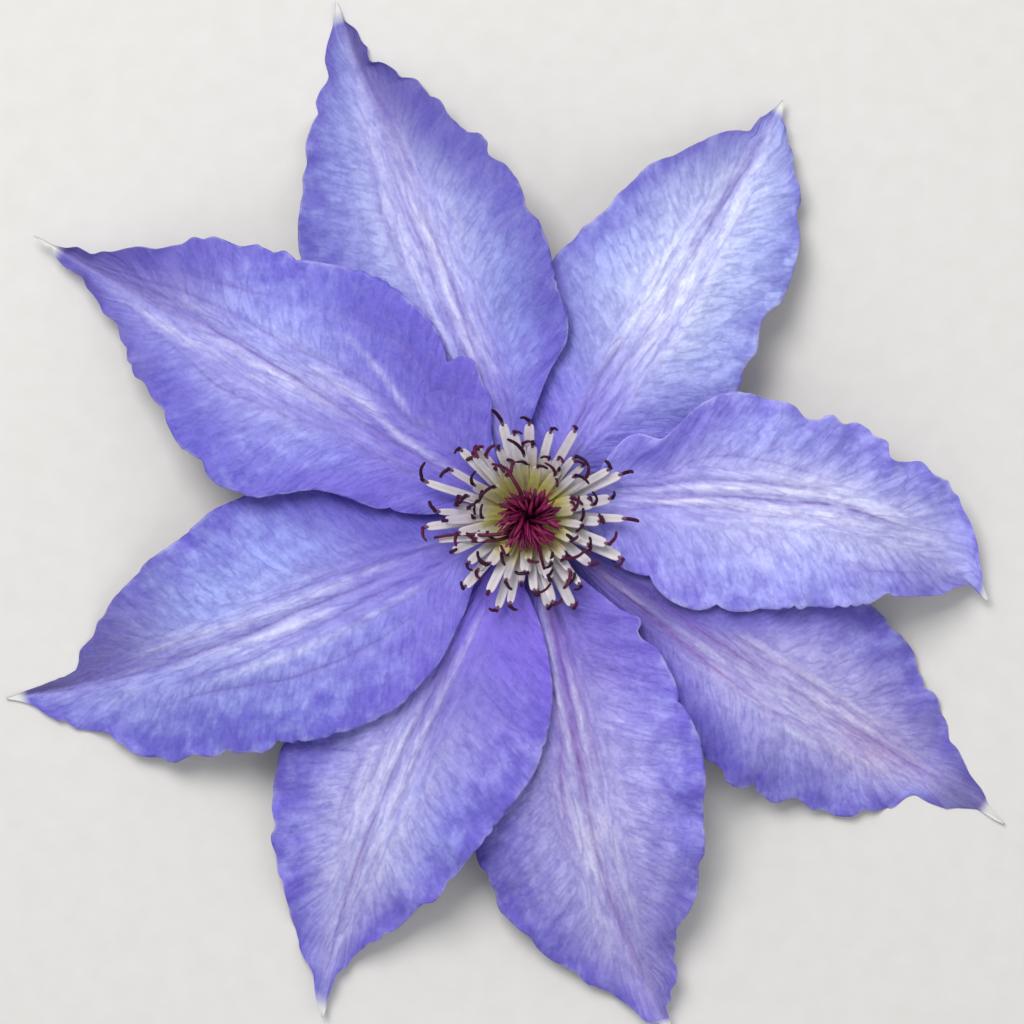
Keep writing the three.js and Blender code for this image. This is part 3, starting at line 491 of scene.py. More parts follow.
def tinted(spots, t, v):
    """How strong a tint is at each point, from the places where it is strongest."""
    tint = np.zeros_like(t)
    for place, share, strength in np.reshape(spots, (-1, 3)) / 100:
        tint += strength * np.exp(-(((t - place) / SPOT_REACH[0]) ** 2) - ((v - share) / SPOT_REACH[1]) ** 2)
    return np.minimum(tint, 1)


def tone_and_painted_light(sepal, t, v):
    """How bright each point is, on the sepal's flanks, at its tip and at its root: partly the tissue's
    own tone and partly painted light and shade.
    """
    ccw = smoothstep(v, -0.2, 0.2)
    flank, tip = (lerp(sepal.get(key, (1, 1))[::-1], ccw) for key in ("bright", "tip"))
    flank = 1 + (flank - 1) * smoothstep(np.abs(v), 0.15, 0.45)
    rooted = lerp((sepal.get("foot", 1), flank), smoothstep(t, 0.26, 0.36))
    return lerp((rooted, tip), smoothstep(t, 0.82, 0.92))


def common_form(sepal, order, t, v, radius, over):
    """The height on the saucer. A margin on top lies and waves above it, and one beneath lies below it."""
    outward = np.abs(v)
    waves = 2 * np.pi * (WAVES * t + np.where(v < 0, draw(order, 1), draw(order, 2)))
    free = smoothstep(t, 0.36, 0.6) * fade(t, 0.86, 1)
    lift = OVERLAP_LIFT * smoothstep(radius, *LIFT_RISE) * fade(radius, *LIFT_FADE)
    ruffle = RUFFLE * outward**3 * free * (0.5 - 0.5 * np.cos(waves + 0.8))
    return (
        saucer(radius)
        + over * (lift * smoothstep(outward, 0, 1) + ruffle)
        + margin_curl(t) * outward**2
        - MIDRIB_DEPTH * groove(t) * fade(outward, 0, MIDRIB_REACH)
        - sepal["droop"] * smoothstep(radius, *DROOP_RANGE)
    )


def fine_relief(order, t, v, along, across, vein, over):
    """Ribs along the middle, side veins that crinkle the blade and a crimped edge, and how high it folds."""
    outward = np.abs(v)
    ribs = np.cos(2 * np.pi * outward / RIB_SPACING) * fade(outward, 0.3, 0.5)
    ribs *= smoothstep(t, 0.1, 0.2) * fade(t, 0.75, 0.92)
    crinkle = sum(height * noise(vein / size, across / wide, order + seed)
                  for height, size, wide, seed in CRINKLES)
    pucker = PUCKER * noise(along / 7, across / 5, order + 31)
    folds = 0.5 + 0.35 * noise(vein / CRIMP_LENGTH, np.where(v < 0, -5.5, 5.5), order + 41)
    folds += 0.15 * noise(vein / 1.1, 3 * outward, order + 51)
    crimp = CRIMP * outward**2.6 * folds * over * smoothstep(t, 0.12, 0.26)
    inside = smoothstep(t, 0.08, 0.25) * fade(t, 0.9, 0.99)
    relief = inside * (smoothstep(outward, 0.15, 0.5) * crinkle + pucker + crimp) - RIB_DEPTH * ribs
    return relief, folds


def sepal_surface(sepal, order):
    """The grid of a sepal's points, with t along it from root to tip and v across it from -1 to 1."""
    length = sepal["length"]
    stations = np.linspace(SEPAL_START / length, 1, round(length / ROW_STEP) + 1)
    u = np.linspace(-1, 1, SEPAL_COLUMNS + 1)
    t, v = np.meshgrid(stations, 0.8 * u + 0.2 * u**3, indexing="ij")
    midrib = curve_through([0, *MIDRIB_STATIONS, 1], [0, *sepal["midrib"], 0])
    ccw, cw = (sepal_margin(sepal, order, side, stations, midrib) for side in ("ccw", "cw"))
    half_width, change = (np.where(v < 0, cw[i][:, None], ccw[i][:, None]) for i in (0, 1))
    outward, along = np.abs(v), t * length
    across = midrib(t) + np.where(v < 0, -1, 1) * (outward * half_width + outward**3 * change)
    vein = along - VEIN_SWEEP * np.sqrt(outward)
    courses = stations, across, midrib, (ccw[0], cw[0])
    hollow, beside, strength = strokes(sepal["veins"], VEIN_REACH, *courses)
    crest = strokes(sepal["crests"], CREST_REACH, *courses)[0]

    over = np.where(np.where(v < 0, *sepal["over"][::-1]), 1, -1)
    relief, folds = fine_relief(order, t, v, along, across, vein, over)
    relief += CREST_HEIGHT * crest - VEIN_DEPTH * hollow
    slender = smoothstep(t, 0.6, 0.8) * fade((ccw[0] + cw[0])[:, None], 1, 2.6) * np.ones_like(v)
    height = common_form(sepal, order, t, v, np.hypot(along, across), over) + relief * (1 - slender)
    # How deep each point lies in the folds, for the painted shade there
    shade = (1 - folds) * outward**1.5 * smoothstep(t, 0.12, 0.26)
    heading = math.radians(sepal["toward"])
    return dict(
        t=t, v=v, along=along, across=across, vein=vein, height=height, slender=slender, shade=shade,
        hollow=hollow, crest=crest, beside=beside, strength=strength, tone_and_painted_light=tone_and_painted_light(sepal, t, v),
        **{name: tinted(sepal.get(name, ()), t, v) for name in TINTS},
        x=along * math.cos(heading) - across * math.sin(heading),
        y=along * math.sin(heading) + across * math.cos(heading),
    )


def neighbours_shade(sepal, order, blades):
    """How deep each point of a blade lies in the painted shade of the margins that lie over it."""
    blade = blades[order]
    shade = np.zeros_like(blade["t"])
    for weight, step, column in zip(sepal.get("shaded", (0, 0)), (-1, 1), (0, -1)):
        if weight:
            upper = blades[(order + step) % len(blades)]
            gap = np.hypot(*(blade[axis][..., None] - upper[axis][::3, column] for axis in ("x", "y")))
            shade = np.maximum(shade, weight * fade(gap.min(axis=-1), 0, SHADE_REACH))
    return shade


def grid_faces(rows, columns):
    """Quads of a closed blade, whose top points come first and whose underside's follow."""
    width = columns + 1
    under = (rows + 1) * width
    row, column = np.meshgrid(np.arange(rows), np.arange(columns), indexing="ij")
    first = (row * width + column).ravel()
    top = np.stack([first, first + width, first + width + 1, first + 1], axis=1)

    def wall(start, end):  # a quad from each edge of the top down to the underside
        return np.stack([start, start + under, end + under, end], axis=1)

    left, front = np.arange(rows) * width, np.arange(columns)
    right, back = left + columns, front + rows * width
    sides = wall(left, left + width), wall(right + width, right)
    ends = wall(front + 1, front), wall(back, back + 1)
    return np.concatenate([top, top[:, ::-1] + under, *sides, *ends]).tolist()


def add_sepal(sepal, order, blades):
    blade = blades[order]
    blade["covered"] = neighbours_shade(sepal, order, blades)
    t, v, x, y = (blade[key] for key in ("t", "v", "x", "y"))
    thickness = EDGE_THICKNESS + (BLADE_THICKNESS - EDGE_THICKNESS) * (1 - np.abs(v) ** 5)
    under = np.maximum(blade["height"] - BLADE_LOWERED, 0)
    points = np.stack([[x, y, under + thickness], [x, y, under]]).reshape(2, 3, -1)
    points = points.transpose(0, 2, 1).reshape(-1, 3)

    def twice(first, second):
        return np.tile(np.stack([first.ravel(), second.ravel()], axis=-1), (2, 1))

    along, across, vein, beside = (blade[key] / UV_SCALE for key in ("along", "across", "vein", "beside"))
    make_piece(
        f"sepal_{order + 1}_blade", points, grid_faces(t.shape[0] - 1, t.shape[1] - 1),
        f"sepal_{order + 1}", sepal_material(sepal, order),
        uvs={
            "share": twice(t, v / 2 + 0.5), "place": twice(along, across), "veins": twice(vein, across),
            "beside": twice(beside, blade["strength"]),
        },
        marks={
            "underside": np.repeat((0, 1), t.size),
            **{name: np.tile(blade[name].ravel(), 2)
               for name in ("slender", "shade", "covered", "hollow", "crest", "tone_and_painted_light", *TINTS)},
        },
    )


# Cross sections, as points on the unit square's scale
def round_section(sides=10, turned=0):
    turn = 2 * np.pi * (np.arange(sides) + turned) / sides
    return np.stack([np.cos(turn), np.sin(turn)], axis=1)


def strap_section():
    """A strap with a shallow channel along its upper face."""
    x, y = (np.sign(c) * np.abs(c) ** 0.6 for c in round_section(14, 0.5).T)
    return np.stack([x, np.where(y > 0, y * (0.35 + 0.65 * x**2), y)], axis=1)


def lobed_section():
    """An anther's two lobes."""
    section = round_section(12, 0.5)
    return section * (1 - 0.22 * np.abs(section[:, 1:]) ** 3)


class Strands:
    """Many bars in one mesh. share runs along each and across over its width, and pick differs by bar."""

    def __init__(self):
        self.points, self.faces, self.share, self.pick, self.across = [], [], [], [], []

    def join(self, rings, across, pick):
        """Adds a tube through rings of points."""
        base, sides, spans = len(self.points), len(rings[0]), len(rings) - 1
        for i, ring in enumerate(rings):
            self.points.extend(ring)
            self.share.extend([i / spans] * sides)
            self.across.extend(across)
            self.pick.extend([pick] * sides)
        for i in range(spans):
            for k in range(sides):
                a, b = (base + i * sides + corner % sides for corner in (k, k + 1))
                self.faces.append((a, b, b + sides, a + sides))

    def add(self, points, sideways, places, half_widths, half_depths, section, pick):
        """Adds a closed bar through the points, with a ring at each place that is wide along sideways."""
        path, wide = through(points, places), through(sideways, places)
        along = np.gradient(path, axis=0)
        along /= np.linalg.norm(along, axis=1, keepdims=True)
        wide = wide - along * np.sum(along * wide, axis=1, keepdims=True)
        wide /= np.linalg.norm(wide, axis=1, keepdims=True)
        deep = np.cross(along, wide)
        x, y = section.T
        self.join([path[i] + np.outer(x * half_widths[i], wide[i]) + np.outer(y * half_depths[i], deep[i])
                   for i in range(len(path))], x, pick)
        end, sides = len(self.points), len(section)
        start = end - len(path) * sides
        self.faces += [tuple(range(start + sides - 1, start - 1, -1)), tuple(range(end - sides, end))]

    def turn_profile(self, profile, pick, segments=48):
        """Adds a body turned about the axis from (radius, height) pairs, closed by its ends."""
        turned = round_section(segments)
        rings = [[(radius * x, radius * y, height) for x, y in turned] for radius, height in profile]
        self.join(rings, [0] * segments, pick)

    def make(self, name, node, slot, material):
        reach = np.hypot(*np.asarray(self.points)[:, :2].T)
        make_piece(name, self.points, self.faces, node, material,
                   marks=dict(share=self.share, pick=self.pick, across=self.across, reach=reach))


def heading_at(azimuth, rise):
    turn, lift = math.radians(azimuth), math.radians(rise)
    return Vector((math.cos(lift) * math.cos(turn), math.cos(lift) * math.sin(turn), math.sin(lift)))


def walk(azimuth, radius, height, rise, legs):
    """The points of a path from a root, and its sideways directions. Each leg is (length, pitch, yaw)."""
    root = heading_at(azimuth, 0) * radius
    root.z = height
    along, wide = heading_at(azimuth, rise), heading_at(azimuth + 90, 0)
    deep = along.cross(wide)
    points, sideways = [root], [wide]
    for length, pitch, yaw in legs:
        turn = Matrix.Rotation(math.radians(pitch), 3, wide)
        along, wide, deep = turn @ along, turn @ wide, turn @ deep
        turn = Matrix.Rotation(math.radians(yaw), 3, deep)
        along, wide, deep = turn @ along, turn @ wide, turn @ deep
        points.append(points[-1] + length * along)
        sideways.append(wide)
    return np.array(points), sideways


def through(points, places):
    """Positions on the smooth curve through the points, at places counted in points."""
    points = np.array(points)
    ends = np.concatenate([[2 * points[0] - points[1]], points, [2 * points[-1] - points[-2]]])
    i = np.clip(np.floor(places).astype(int), 0, len(points) - 2)
    s = (np.asarray(places) - i)[:, None]
    a, b, c, d = (ends[i + k] for k in range(4))
    return 0.5 * (2 * b + (c - a) * s + (2 * a - 5 * b + 4 * c - d) * s**2 + (3 * b - a - 3 * c + d) * s**3)


def even(count, rings):
    """Places for rings that are spread evenly over a path with so many points."""
    return np.linspace(0, count - 1, rings)


def unevenly(kind, draws):
    """How far the draws move each of a bar's values, up to half of its unevenness either way."""
    return (size * (drawn - 0.5) for size, drawn in zip(kind["uneven"], draws))


def add_stamen(straps, anthers, kind, order):
    share = (order + 0.5) / kind["count"]
    turn, tilt, reach, anther, curl, lean, girth, *picks = (draw(order, i) for i in kind["draws"])
    turn, tilt, reach = unevenly(kind, (turn, tilt, reach))
    rise = lerp(kind["rise"], share ** kind["rise_power"]) + tilt
    length = lerp(kind["length"], share) + reach
    anther = lerp(kind["anther"], anther ** kind["anther_power"])
    curl, lean = lerp(kind["curl"], curl), math.radians(lerp(ANTHER_LEAN, lean))
    hook = (anther / 3, -curl * math.cos(lean), curl * math.sin(lean))
    path = walk(order * GOLDEN_ANGLE + kind["turned"] + turn, lerp(FILAMENT_ROOT_RADIUS, share),
                lerp(FILAMENT_ROOT_HEIGHT, share), rise, [(length / 2, FILAMENT_SAG, 0)] * 2 + [hook] * 3)

    places = np.r_[np.linspace(0, 1.9, 16), 1.96, 2.0]
    widths = curve_through([0, 1, 1.8, 1.96, 2], [*STRAP_HALF_WIDTHS, 0.5, 0.2])(places)
    depths = STRAP_HALF_THICKNESS * curve_through([0, 1.8, 2], [1.3, 1, 0.5])(places)
    straps.add(*path, places, lerp(kind["girth"], girth) * widths, depths, strap_section(), picks[0])

    places = np.r_[np.linspace(1.93, 4.9, 22), 4.97, 5.0]
    taper = curve_through([1.93, 2.3, 4.6, 4.97, 5], [0.2, 0.27, 0.24, 0.15, 0.06])(places)
    anthers.add(*path, places, taper * 1.15, taper, lobed_section(), picks[1])


def add_stamens():
    straps, anthers = Strands(), Strands()
    straps.turn_profile(RING_PROFILE + RING_PROFILE[:1], 0.5)
    for kind in STAMEN_KINDS:
        for order in range(kind["count"]):
            add_stamen(straps, anthers, kind, order)
    straps.add(STRAY_STRAP, [(0, 1, 0)] * len(STRAY_STRAP), even(len(STRAY_STRAP), STRAY_RINGS),
               *np.tile(STRAY_STRAP_HALVES, (STRAY_RINGS, 1)).T, strap_section(), 0.5)
    straps.make("filaments", "stamens", "stamen", filament_material())
    anthers.make("anthers", "stamens", "stamen", anther_material())


def add_style(tuft, kind, order):
    share = ((order + 0.5) / kind["count"]) ** kind["share_power"]
    turn, reach, swirl, girth, pick = (draw(order, i) for i in kind["draws"])
    turn, reach = unevenly(kind, (turn, reach))
    length, swirl = lerp(STYLE_LENGTH, share) - kind["shorter"] + reach, lerp(kind["swirl"], swirl)
    bends = [(0, 0), (8, swirl), (lerp(STYLE_BEND, share), swirl)]
    points, sideways = walk(
        order * GOLDEN_ANGLE + kind["turned"] + turn, kind["spread"] * math.sqrt(share), STYLE_ROOT_HEIGHT,
        90 - lerp(STYLE_TILT, share), [(part * length, *bend) for part, bend in zip(STYLE_PARTS, bends)])
    points += np.outer(np.arange(4) / 3, (*TUFT_LEAN, 0))
    places = np.r_[np.linspace(0, 2.9, 18), 2.97, 3.0]
    girth = kind["girth"][0] + kind["girth"][1] * girth**2
    widths = girth * curve_through([0, 1, 2, 2.9, 3], [*STYLE_HALF_WIDTHS, 0.06])(places)
    tuft.add(points, sideways, places, widths, widths, round_section(), pick)


def add_styles():
    tuft = Strands()
    tuft.turn_profile(TUFT_PROFILE, 0.1)
    for kind in STYLE_KINDS:
        for order in range(kind["count"]):
            add_style(tuft, kind, order)
    for points in STRAY_STYLES:
        places = even(len(points), STRAY_RINGS)
        taper = STRAY_HALF_WIDTH * (1.1 - 0.5 * places / places[-1])
        tuft.add(points, [(0, 0, 1)] * len(points), places, taper, taper, round_section(), 0.9)
    tuft.make("style_tuft", "styles", "style", style_material())


def add_stalk():
    stalk = Strands()
    turn = math.radians(STALK_TOWARD)
    out, aside = np.array([(math.cos(turn), math.sin(turn), 0), (-math.sin(turn), math.cos(turn), 0)])
    points = [reach * out + sideways * aside + (0, 0, height) for reach, sideways, height in STALK_PATH]
    places = even(len(points), STALK_RINGS)
    ribs = 1 + 0.05 * np.cos(6 * 2 * np.pi * np.arange(STALK_SIDES) / STALK_SIDES)
    radii = STALK_RADIUS * (1 + 0.03 * noise(places * 1.3, 0.5, 61))
    stalk.add(points, [aside] * len(points), places, radii, radii,
              ribs[:, None] * round_section(STALK_SIDES), 0.5)
    stalk.turn_profile(RECEPTACLE_PROFILE, 0.8)
    stalk.make("stalk_and_receptacle", "stalk", "stalk", stalk_material())


def colour(code):
    """Linear red, green, blue and alpha from a hexadecimal colour code."""
    levels = [int(code[i : i + 2], 16) / 255 for i in (1, 3, 5)]
    linear = (level / 12.92 if level <= 0.04045 else ((level + 0.055) / 1.055) ** 2.4 for level in levels)
    return [*linear, 1]


class Material:
    """A Principled material, with short ways to add the nodes that drive it."""

    def __init__(self, name, **fixed):
        self.data = bpy.data.materials.new(name)
        self.data.use_nodes = True
        self.tree = self.data.node_tree
        self.shader = self.tree.nodes["Principled BSDF"]
        for socket, value in fixed.items():
            self.shader.inputs[socket.replace("_", " ").title().replace("Ior", "IOR")].default_value = value

    def put(self, socket, value):
        if isinstance(value, bpy.types.NodeSocket):
            self.tree.links.new(value, socket)
        else:
            socket.default_value = colour(value) if isinstance(value, str) else value

    def node(self, kind, values, output=0, **settings):
        """An output of a new node, whose inputs take the values in order, or by name or number."""
        node = self.tree.nodes.new(kind)
        for key, value in settings.items():
            setattr(node, key, value)
        for key, value in values.items() if isinstance(values, dict) else enumerate(values):
            self.put(node.inputs[key], value)
        return node.outputs[output]

    def math(self, operation, *values):
        return self.node("ShaderNodeMath", values, operation=operation)

    def times(self, first, *rest):
        return self.math("MULTIPLY", first, self.times(*rest)) if rest else first

    def fit(self, value, scale, offset):
        return self.math("MULTIPLY_ADD", value, scale, offset)

    def clamped(self, value):
        return self.node("ShaderNodeClamp", (value, 0.0, 1.0))

    def step(self, value, low, high):
        """0 at low and 1 at high, with a smooth rise between them."""
        return self.node("ShaderNodeMapRange", (value, low, high, 0.0, 1.0), interpolation_type="SMOOTHSTEP")

    def mix(self, factor, first, second, blend="MIX"):
        return self.node(
            "ShaderNodeMix", {0: factor, 6: first, 7: second}, 2, data_type="RGBA", blend_type=blend)

    def vector(self, *values):
        return self.node("ShaderNodeCombineXYZ", values)

    def noise(self, vector, scale, detail=2.0, rough=0.5):
        return self.node(
            "ShaderNodeTexNoise", dict(Vector=vector, Scale=scale, Detail=detail, Roughness=rough))

    def uv(self, name, scale=1.0):
        """The two numbers of a UV map, times scale."""
        place = self.node("ShaderNodeUVMap", (), uv_map=name)
        split = self.node("ShaderNodeSeparateXYZ", (place,)).node
        return [self.times(split.outputs[i], scale) for i in (0, 1)]

    def mark(self, name):
        return self.node("ShaderNodeAttribute", (), "Fac", attribute_name=name)

    def spot(self):
        return self.node("ShaderNodeTexCoord", (), "Object")

    def start(self, factor, first, second):
        """The first colour, between two."""
        self.base = self.mix(factor, first, second)

    def paint(self, code, *factors):
        """Lays a colour over the ones so far, as much as the product of the factors."""
        self.base = self.mix(self.times(*factors), self.base, code)

    def finish(self, roughness, height, depth):
        """Puts in the colour, the roughness, and a bump whose full height is depth metres."""
        bump = self.node("ShaderNodeBump", dict(Strength=1.0, Distance=depth, Height=height))
        for key, value in (("Base Color", self.base), ("Roughness", roughness), ("Normal", bump)):
            self.put(self.shader.inputs[key], value)
        return self.data


def stretched(m, x, x_scale, y_scale, shift, detail=2.0):
    place = m.vector(m.times(x, x_scale), m.times(m.across, y_scale), m.seed + shift)
    return m.noise(place, 1.0, detail)


def blend(m, inner, outer):
    inner = m.times(inner, m.math("SUBTRACT", 1.0, m.outer))
    return m.math("ADD", inner, m.times(outer, m.outer))


def by_side(m, key):
    ccw, cw = m.sepal[key]
    return m.fit(m.ccw_side, ccw - cw, cw)


def survey(m):
    """The places and the noises that the sepal's layers share."""
    m.t, w = m.uv("share")
    m.along, m.across = m.uv("place", UV_SCALE)
    m.vein = m.uv("veins", UV_SCALE)[0]
    side = m.fit(w, 2.0, -1.0)
    m.outward = m.math("ABSOLUTE", side)
    m.ccw_side, m.outer = m.step(side, -0.12, 0.12), m.step(m.outward, 0.12, 0.42)
    m.blotches = stretched(m, m.along, 0.11, 0.17, 0)
    m.patches = stretched(m, m.along, 0.3, 0.36, 4, 3.0)
    m.tint = m.step(m.patches, 0.2, 0.62)
    m.cells = stretched(m, m.along, 1.7, 1.7, 6, 1.0)
    m.streaks = blend(m, stretched(m, m.along, 0.42, 1.4, 8), stretched(m, m.vein, 1.15, 0.45, 10))
    # Wrinkles are thin lines where a stretched noise passes its middle: along the middle of the blade, and
    # along the side veins towards the margins
    wrinkled = blend(m, stretched(m, m.along, 0.12, 0.6, 12), stretched(m, m.vein, 0.5, 0.24, 14))
    m.wrinkles = m.step(m.math("ABSOLUTE", m.math("SUBTRACT", wrinkled, 0.5)), 0.09, 0.0)


def paint_sides(m):
    """Violet sides and the pale middle. One side is lighter than the other, partly in the tissue's colour
    and partly as painted light and shade, and the folds carry painted shade.
    """
    lightness = m.math("ADD", by_side(m, "light"), m.fit(m.patches, 1.5, -0.75))
    # Painted shade: darker where the blade lies deep in its folds
    lightness = m.math("SUBTRACT", lightness, m.times(m.mark("shade"), 0.45))
    # A shaded and a lit violet, mixed by the lightness above
    m.start(m.clamped(lightness), "#6d64cd", "#b3b6fd")
    spread = m.step(m.math("ADD", m.outward, m.fit(m.blotches, 0.4, -0.2)), m.sepal["wide"], 0.04)
    m.paint("#d2d5ff", m.times(spread, m.step(m.t, 0.1, 0.56), m.step(m.t, 1.02, 0.78)), m.sepal["pale"])
    m.paint("#b9a6dc", m.step(m.outward, 1.0, 0.2), 0.5 * m.sepal["warm"])
    m.paint("#9cabff", m.mark("blue"), m.fit(m.tint, 0.5, 0.15))
    # A more saturated violet along the margins, in patches
    m.paint("#6a5acf", m.times(m.step(m.outward, 0.72, 0.93), m.step(m.patches, 0.68, 0.42)), 0.35)


def paint_ridges(m):
    """Whitish ridges with mauve lines between them, which close up towards the root and the tip."""
    banded = m.times(m.step(m.outward, 0.5, 0.1), m.step(m.t, 0.04, 0.14), m.step(m.t, 0.97, 0.72))
    ridges = m.step(stretched(m, m.along, 0.07, 0.42, 20), 0.46, 0.68)
    m.paint("#e9e8fb", m.times(ridges, banded), 0.16 + 0.2 * m.sepal["pale"])
    bent = m.math("ADD", m.outward, m.fit(m.blotches, 0.22, -0.11))
    broken = m.step(stretched(m, m.along, 0.12, 0.5, 24, 1.0), 0.62, 0.42)
    ribs = m.times(m.step(m.math("PINGPONG", bent, RIB_SPACING / 2), 0.035, 0.004), broken)
    midrib = m.times(m.step(m.outward, 0.08, 0.01), m.step(m.t, 0.05, 0.12), m.step(m.t, 1.0, 0.85))
    midrib = m.times(midrib, m.step(m.patches, 0.3, 0.55))
    m.lines = m.math("MAXIMUM", m.times(ribs, banded), m.times(midrib, 0.9))
    m.paint("#8470b6", m.lines, 0.2)


def paint_tints(m):
    """A deep violet root, a dull end, and the placed tints. The dull end and the deep tint are partly
    painted shade.
    """
    rooted = m.step(m.math("ADD", m.t, m.times(m.blotches, 0.1)), 0.56, 0.24)
    m.paint("#7056cc", rooted, 0.9 * m.sepal["root"])
    # A duller end, partly painted shade where an end lies in shade
    m.paint("#6658a6", m.step(m.t, 0.56, 0.86), by_side(m, "end"))
    # Partly painted shade: deep violet where a neighbour's margin or a fold shades the blade, and partly the
    # tissue's deeper colour
    m.paint("#5347b6", m.mark("deep"), m.fit(m.tint, 0.5, 0.3))
    m.paint("#6c609e", m.mark("mauve"), m.fit(m.tint, 0.35, 0.3))
    m.paint("#dcacd6", m.mark("blush"), 0.4)


def paint_veins(m):
    """The traced veins and crests, with painted shade in the veins' grooves, and a deeper violet painted as
    the shade of a neighbour's margin.
    """
    warm = m.sepal["warm"]
    beside, strength = m.uv("beside")
    wobble = m.fit(stretched(m, m.along, 0.5, 0.5, 28), 0.5, -0.25)
    gap = m.math("ABSOLUTE", m.math("ADD", m.times(beside, UV_SCALE), wobble))
    m.thin = m.times(m.step(gap, 0.34, 0.04), strength, m.step(m.patches, 0.3, 0.5))
    # Partly painted shade: the grooves beside the veins, which the relief lowers too, are painted a darker
    # vein violet
    hollow = m.clamped(m.times(m.mark("hollow"), 0.4 + 0.2 * warm))
    m.paint(m.mix(warm, "#7266c0", "#9a6cb4"), hollow)
    m.paint("#eeecff", m.clamped(m.times(m.mark("crest"), m.fit(m.tint, 0.3, 0.24))))
    m.paint(m.mix(warm, "#6a56a6", "#8c4f92"), m.thin, 0.52)
    # Painted shade: a deeper violet along the margins of the neighbours that lie over the blade
    m.paint("#4a39b6", m.mark("covered"), 0.6)


def paint_grain(m):
    """Painted shade in the wrinkles, the lighter and darker grain of the streaks and cells, and the placed
    brightness.
    """
    # Painted shade: a darker violet along the wrinkles, which the bump also lowers
    m.paint("#5c53b4", m.wrinkles, 0.28)
    grain = m.fit(m.streaks, 1.0, m.fit(m.cells, 0.5, -0.25))
    grain = m.mix(grain, (0.6, 0.58, 0.8, 1), (1.4, 1.42, 1.2, 1))
    m.base = m.mix(1.0, m.base, grain, "MULTIPLY")
    # The placed brightness, partly painted light and shade, with a shift of its blue
    bright, cool = m.mark("tone_and_painted_light"), m.fit(m.outer, 0.6, 0.4)
    turns = (turn * m.sepal.get("cool", 0) for turn in (-0.05, 0.05))
    red, green = (m.times(bright, m.fit(cool, turn, 1.0)) for turn in turns)
    m.base = m.mix(1.0, m.base, m.vector(red, green, bright), "MULTIPLY")


def paint_edges(m):
    """The thin, patchy pale edge, the pale spike at the tip, and the duller underside."""
    edge = m.times(m.step(m.outward, 0.968, 0.99), m.step(m.t, 0.06, 0.14), m.step(m.patches, 0.38, 0.62))
    m.paint("#cfc8f0", edge, 0.28)
    m.paint("#dcddd6", m.mark("slender"))
    upper = m.base
    m.start(m.fit(m.streaks, 0.5, 0.1), "#b2abdd", "#948bcb")
    # The greenish bar along its middle
    m.paint("#a9ae8c", m.times(m.step(m.outward, 0.36, 0.2), m.step(m.t, 1.0, 0.75)), 0.7)
    m.paint("#857590", m.math("MAXIMUM", m.lines, m.thin), 0.8)
    m.start(m.mark("underside"), upper, m.base)


def sepal_material(sepal, order):
    """Petal tissue: a pale ribbed middle, violet sides, creases along the veins and a thin pale edge."""
    m = Material(f"sepal_tissue_{order + 1}", sheen_weight=0.08, sheen_roughness=0.4)
    m.sepal, m.seed = sepal, 13.7 * order
    for layer in (survey, paint_sides, paint_ridges, paint_tints, paint_veins, paint_grain, paint_edges):
        layer(m)
    height = m.fit(m.streaks, 0.7, m.times(m.cells, 0.3))
    height = m.math("SUBTRACT", height, m.fit(m.wrinkles, 0.25, m.times(m.thin, 0.4)))
    height = m.times(height, m.math("SUBTRACT", 1.0, m.mark("slender")))
    return m.finish(m.fit(m.streaks, 0.16, 0.5), height, 0.00014)


def filament_material():
    """Waxy straps: greenish yellow round the tuft, cream beyond it and faintly pink at some ends, with
    painted shade along each strap's channel and edges.
    """
    m = Material("filament_tissue")
    share, pick, across, reach = (m.mark(name) for name in ("share", "pick", "across", "reach"))
    grain = m.noise(m.spot(), 900.0)
    outward = m.math("ABSOLUTE", across)
    beyond_green = m.math("SUBTRACT", reach, m.fit(pick, 2.4, 5.2))
    m.start(m.step(beyond_green, -1.2, 2.4), "#dcd468", "#dad4d8")
    m.paint("#dcc0d2", m.step(share, 0.7, 1.0), pick, 0.55)
    # Painted shade: darker along the middle channel of each strap and along its edges, where it meets its
    # neighbours
    m.paint("#a89cb4", m.step(outward, 0.55, 0.1), 0.24)
    m.paint("#9a8ea8", m.step(outward, 0.7, 1.0), 0.34)
    m.paint("#b6a9c0", m.step(pick, 0.55, 0.9), 0.35)
    m.paint("#eee9e6", m.step(grain, 0.5, 0.8), 0.15)
    return m.finish(m.fit(grain, 0.2, 0.36), grain, 0.0001)


def anther_material():
    """Dark maroon anthers, some of them redder, and paler where they leave the strap."""
    m = Material("anther_tissue", specular_ior_level=0.2)
    grain = m.noise(m.spot(), 1400.0, 3.0)
    m.start(m.step(m.mark("pick"), 0.3, 1.0), "#300f28", "#521736")
    m.paint("#7a3358", m.step(grain, 0.55, 0.75), 0.18)
    m.paint("#9c6f86", m.step(m.mark("share"), 0.1, 0.0), 0.7)
    return m.finish(m.fit(grain, 0.25, 0.4), grain, 0.00012)


def style_material():
    """Satin crimson styles, a few with a painted highlight along their middle, and nearly black roots."""
    m = Material("style_tissue", specular_ior_level=0.25)
    share, pick, across = m.mark("share"), m.mark("pick"), m.mark("across")
    grain = m.noise(m.spot(), 1200.0, 3.0)
    m.start(m.step(share, 0.1, 0.6), "#3a0c24", "#740b40")
    m.paint("#4a082e", m.step(pick, 0.5, 0.85), 0.85)
    # Painted highlight: a pinkish line along the middle of some styles, where light catches their round tops
    painted_highlight = m.times(m.step(m.math("ABSOLUTE", across), 0.4, 0.1), m.step(pick, 0.75, 0.2))
    m.paint("#b84888", m.times(painted_highlight, m.step(share, 0.3, 0.6)), 0.4)
    m.paint("#a0407a", m.step(grain, 0.55, 0.75), 0.14)
    return m.finish(m.fit(grain, 0.2, 0.38), grain, 0.00012)


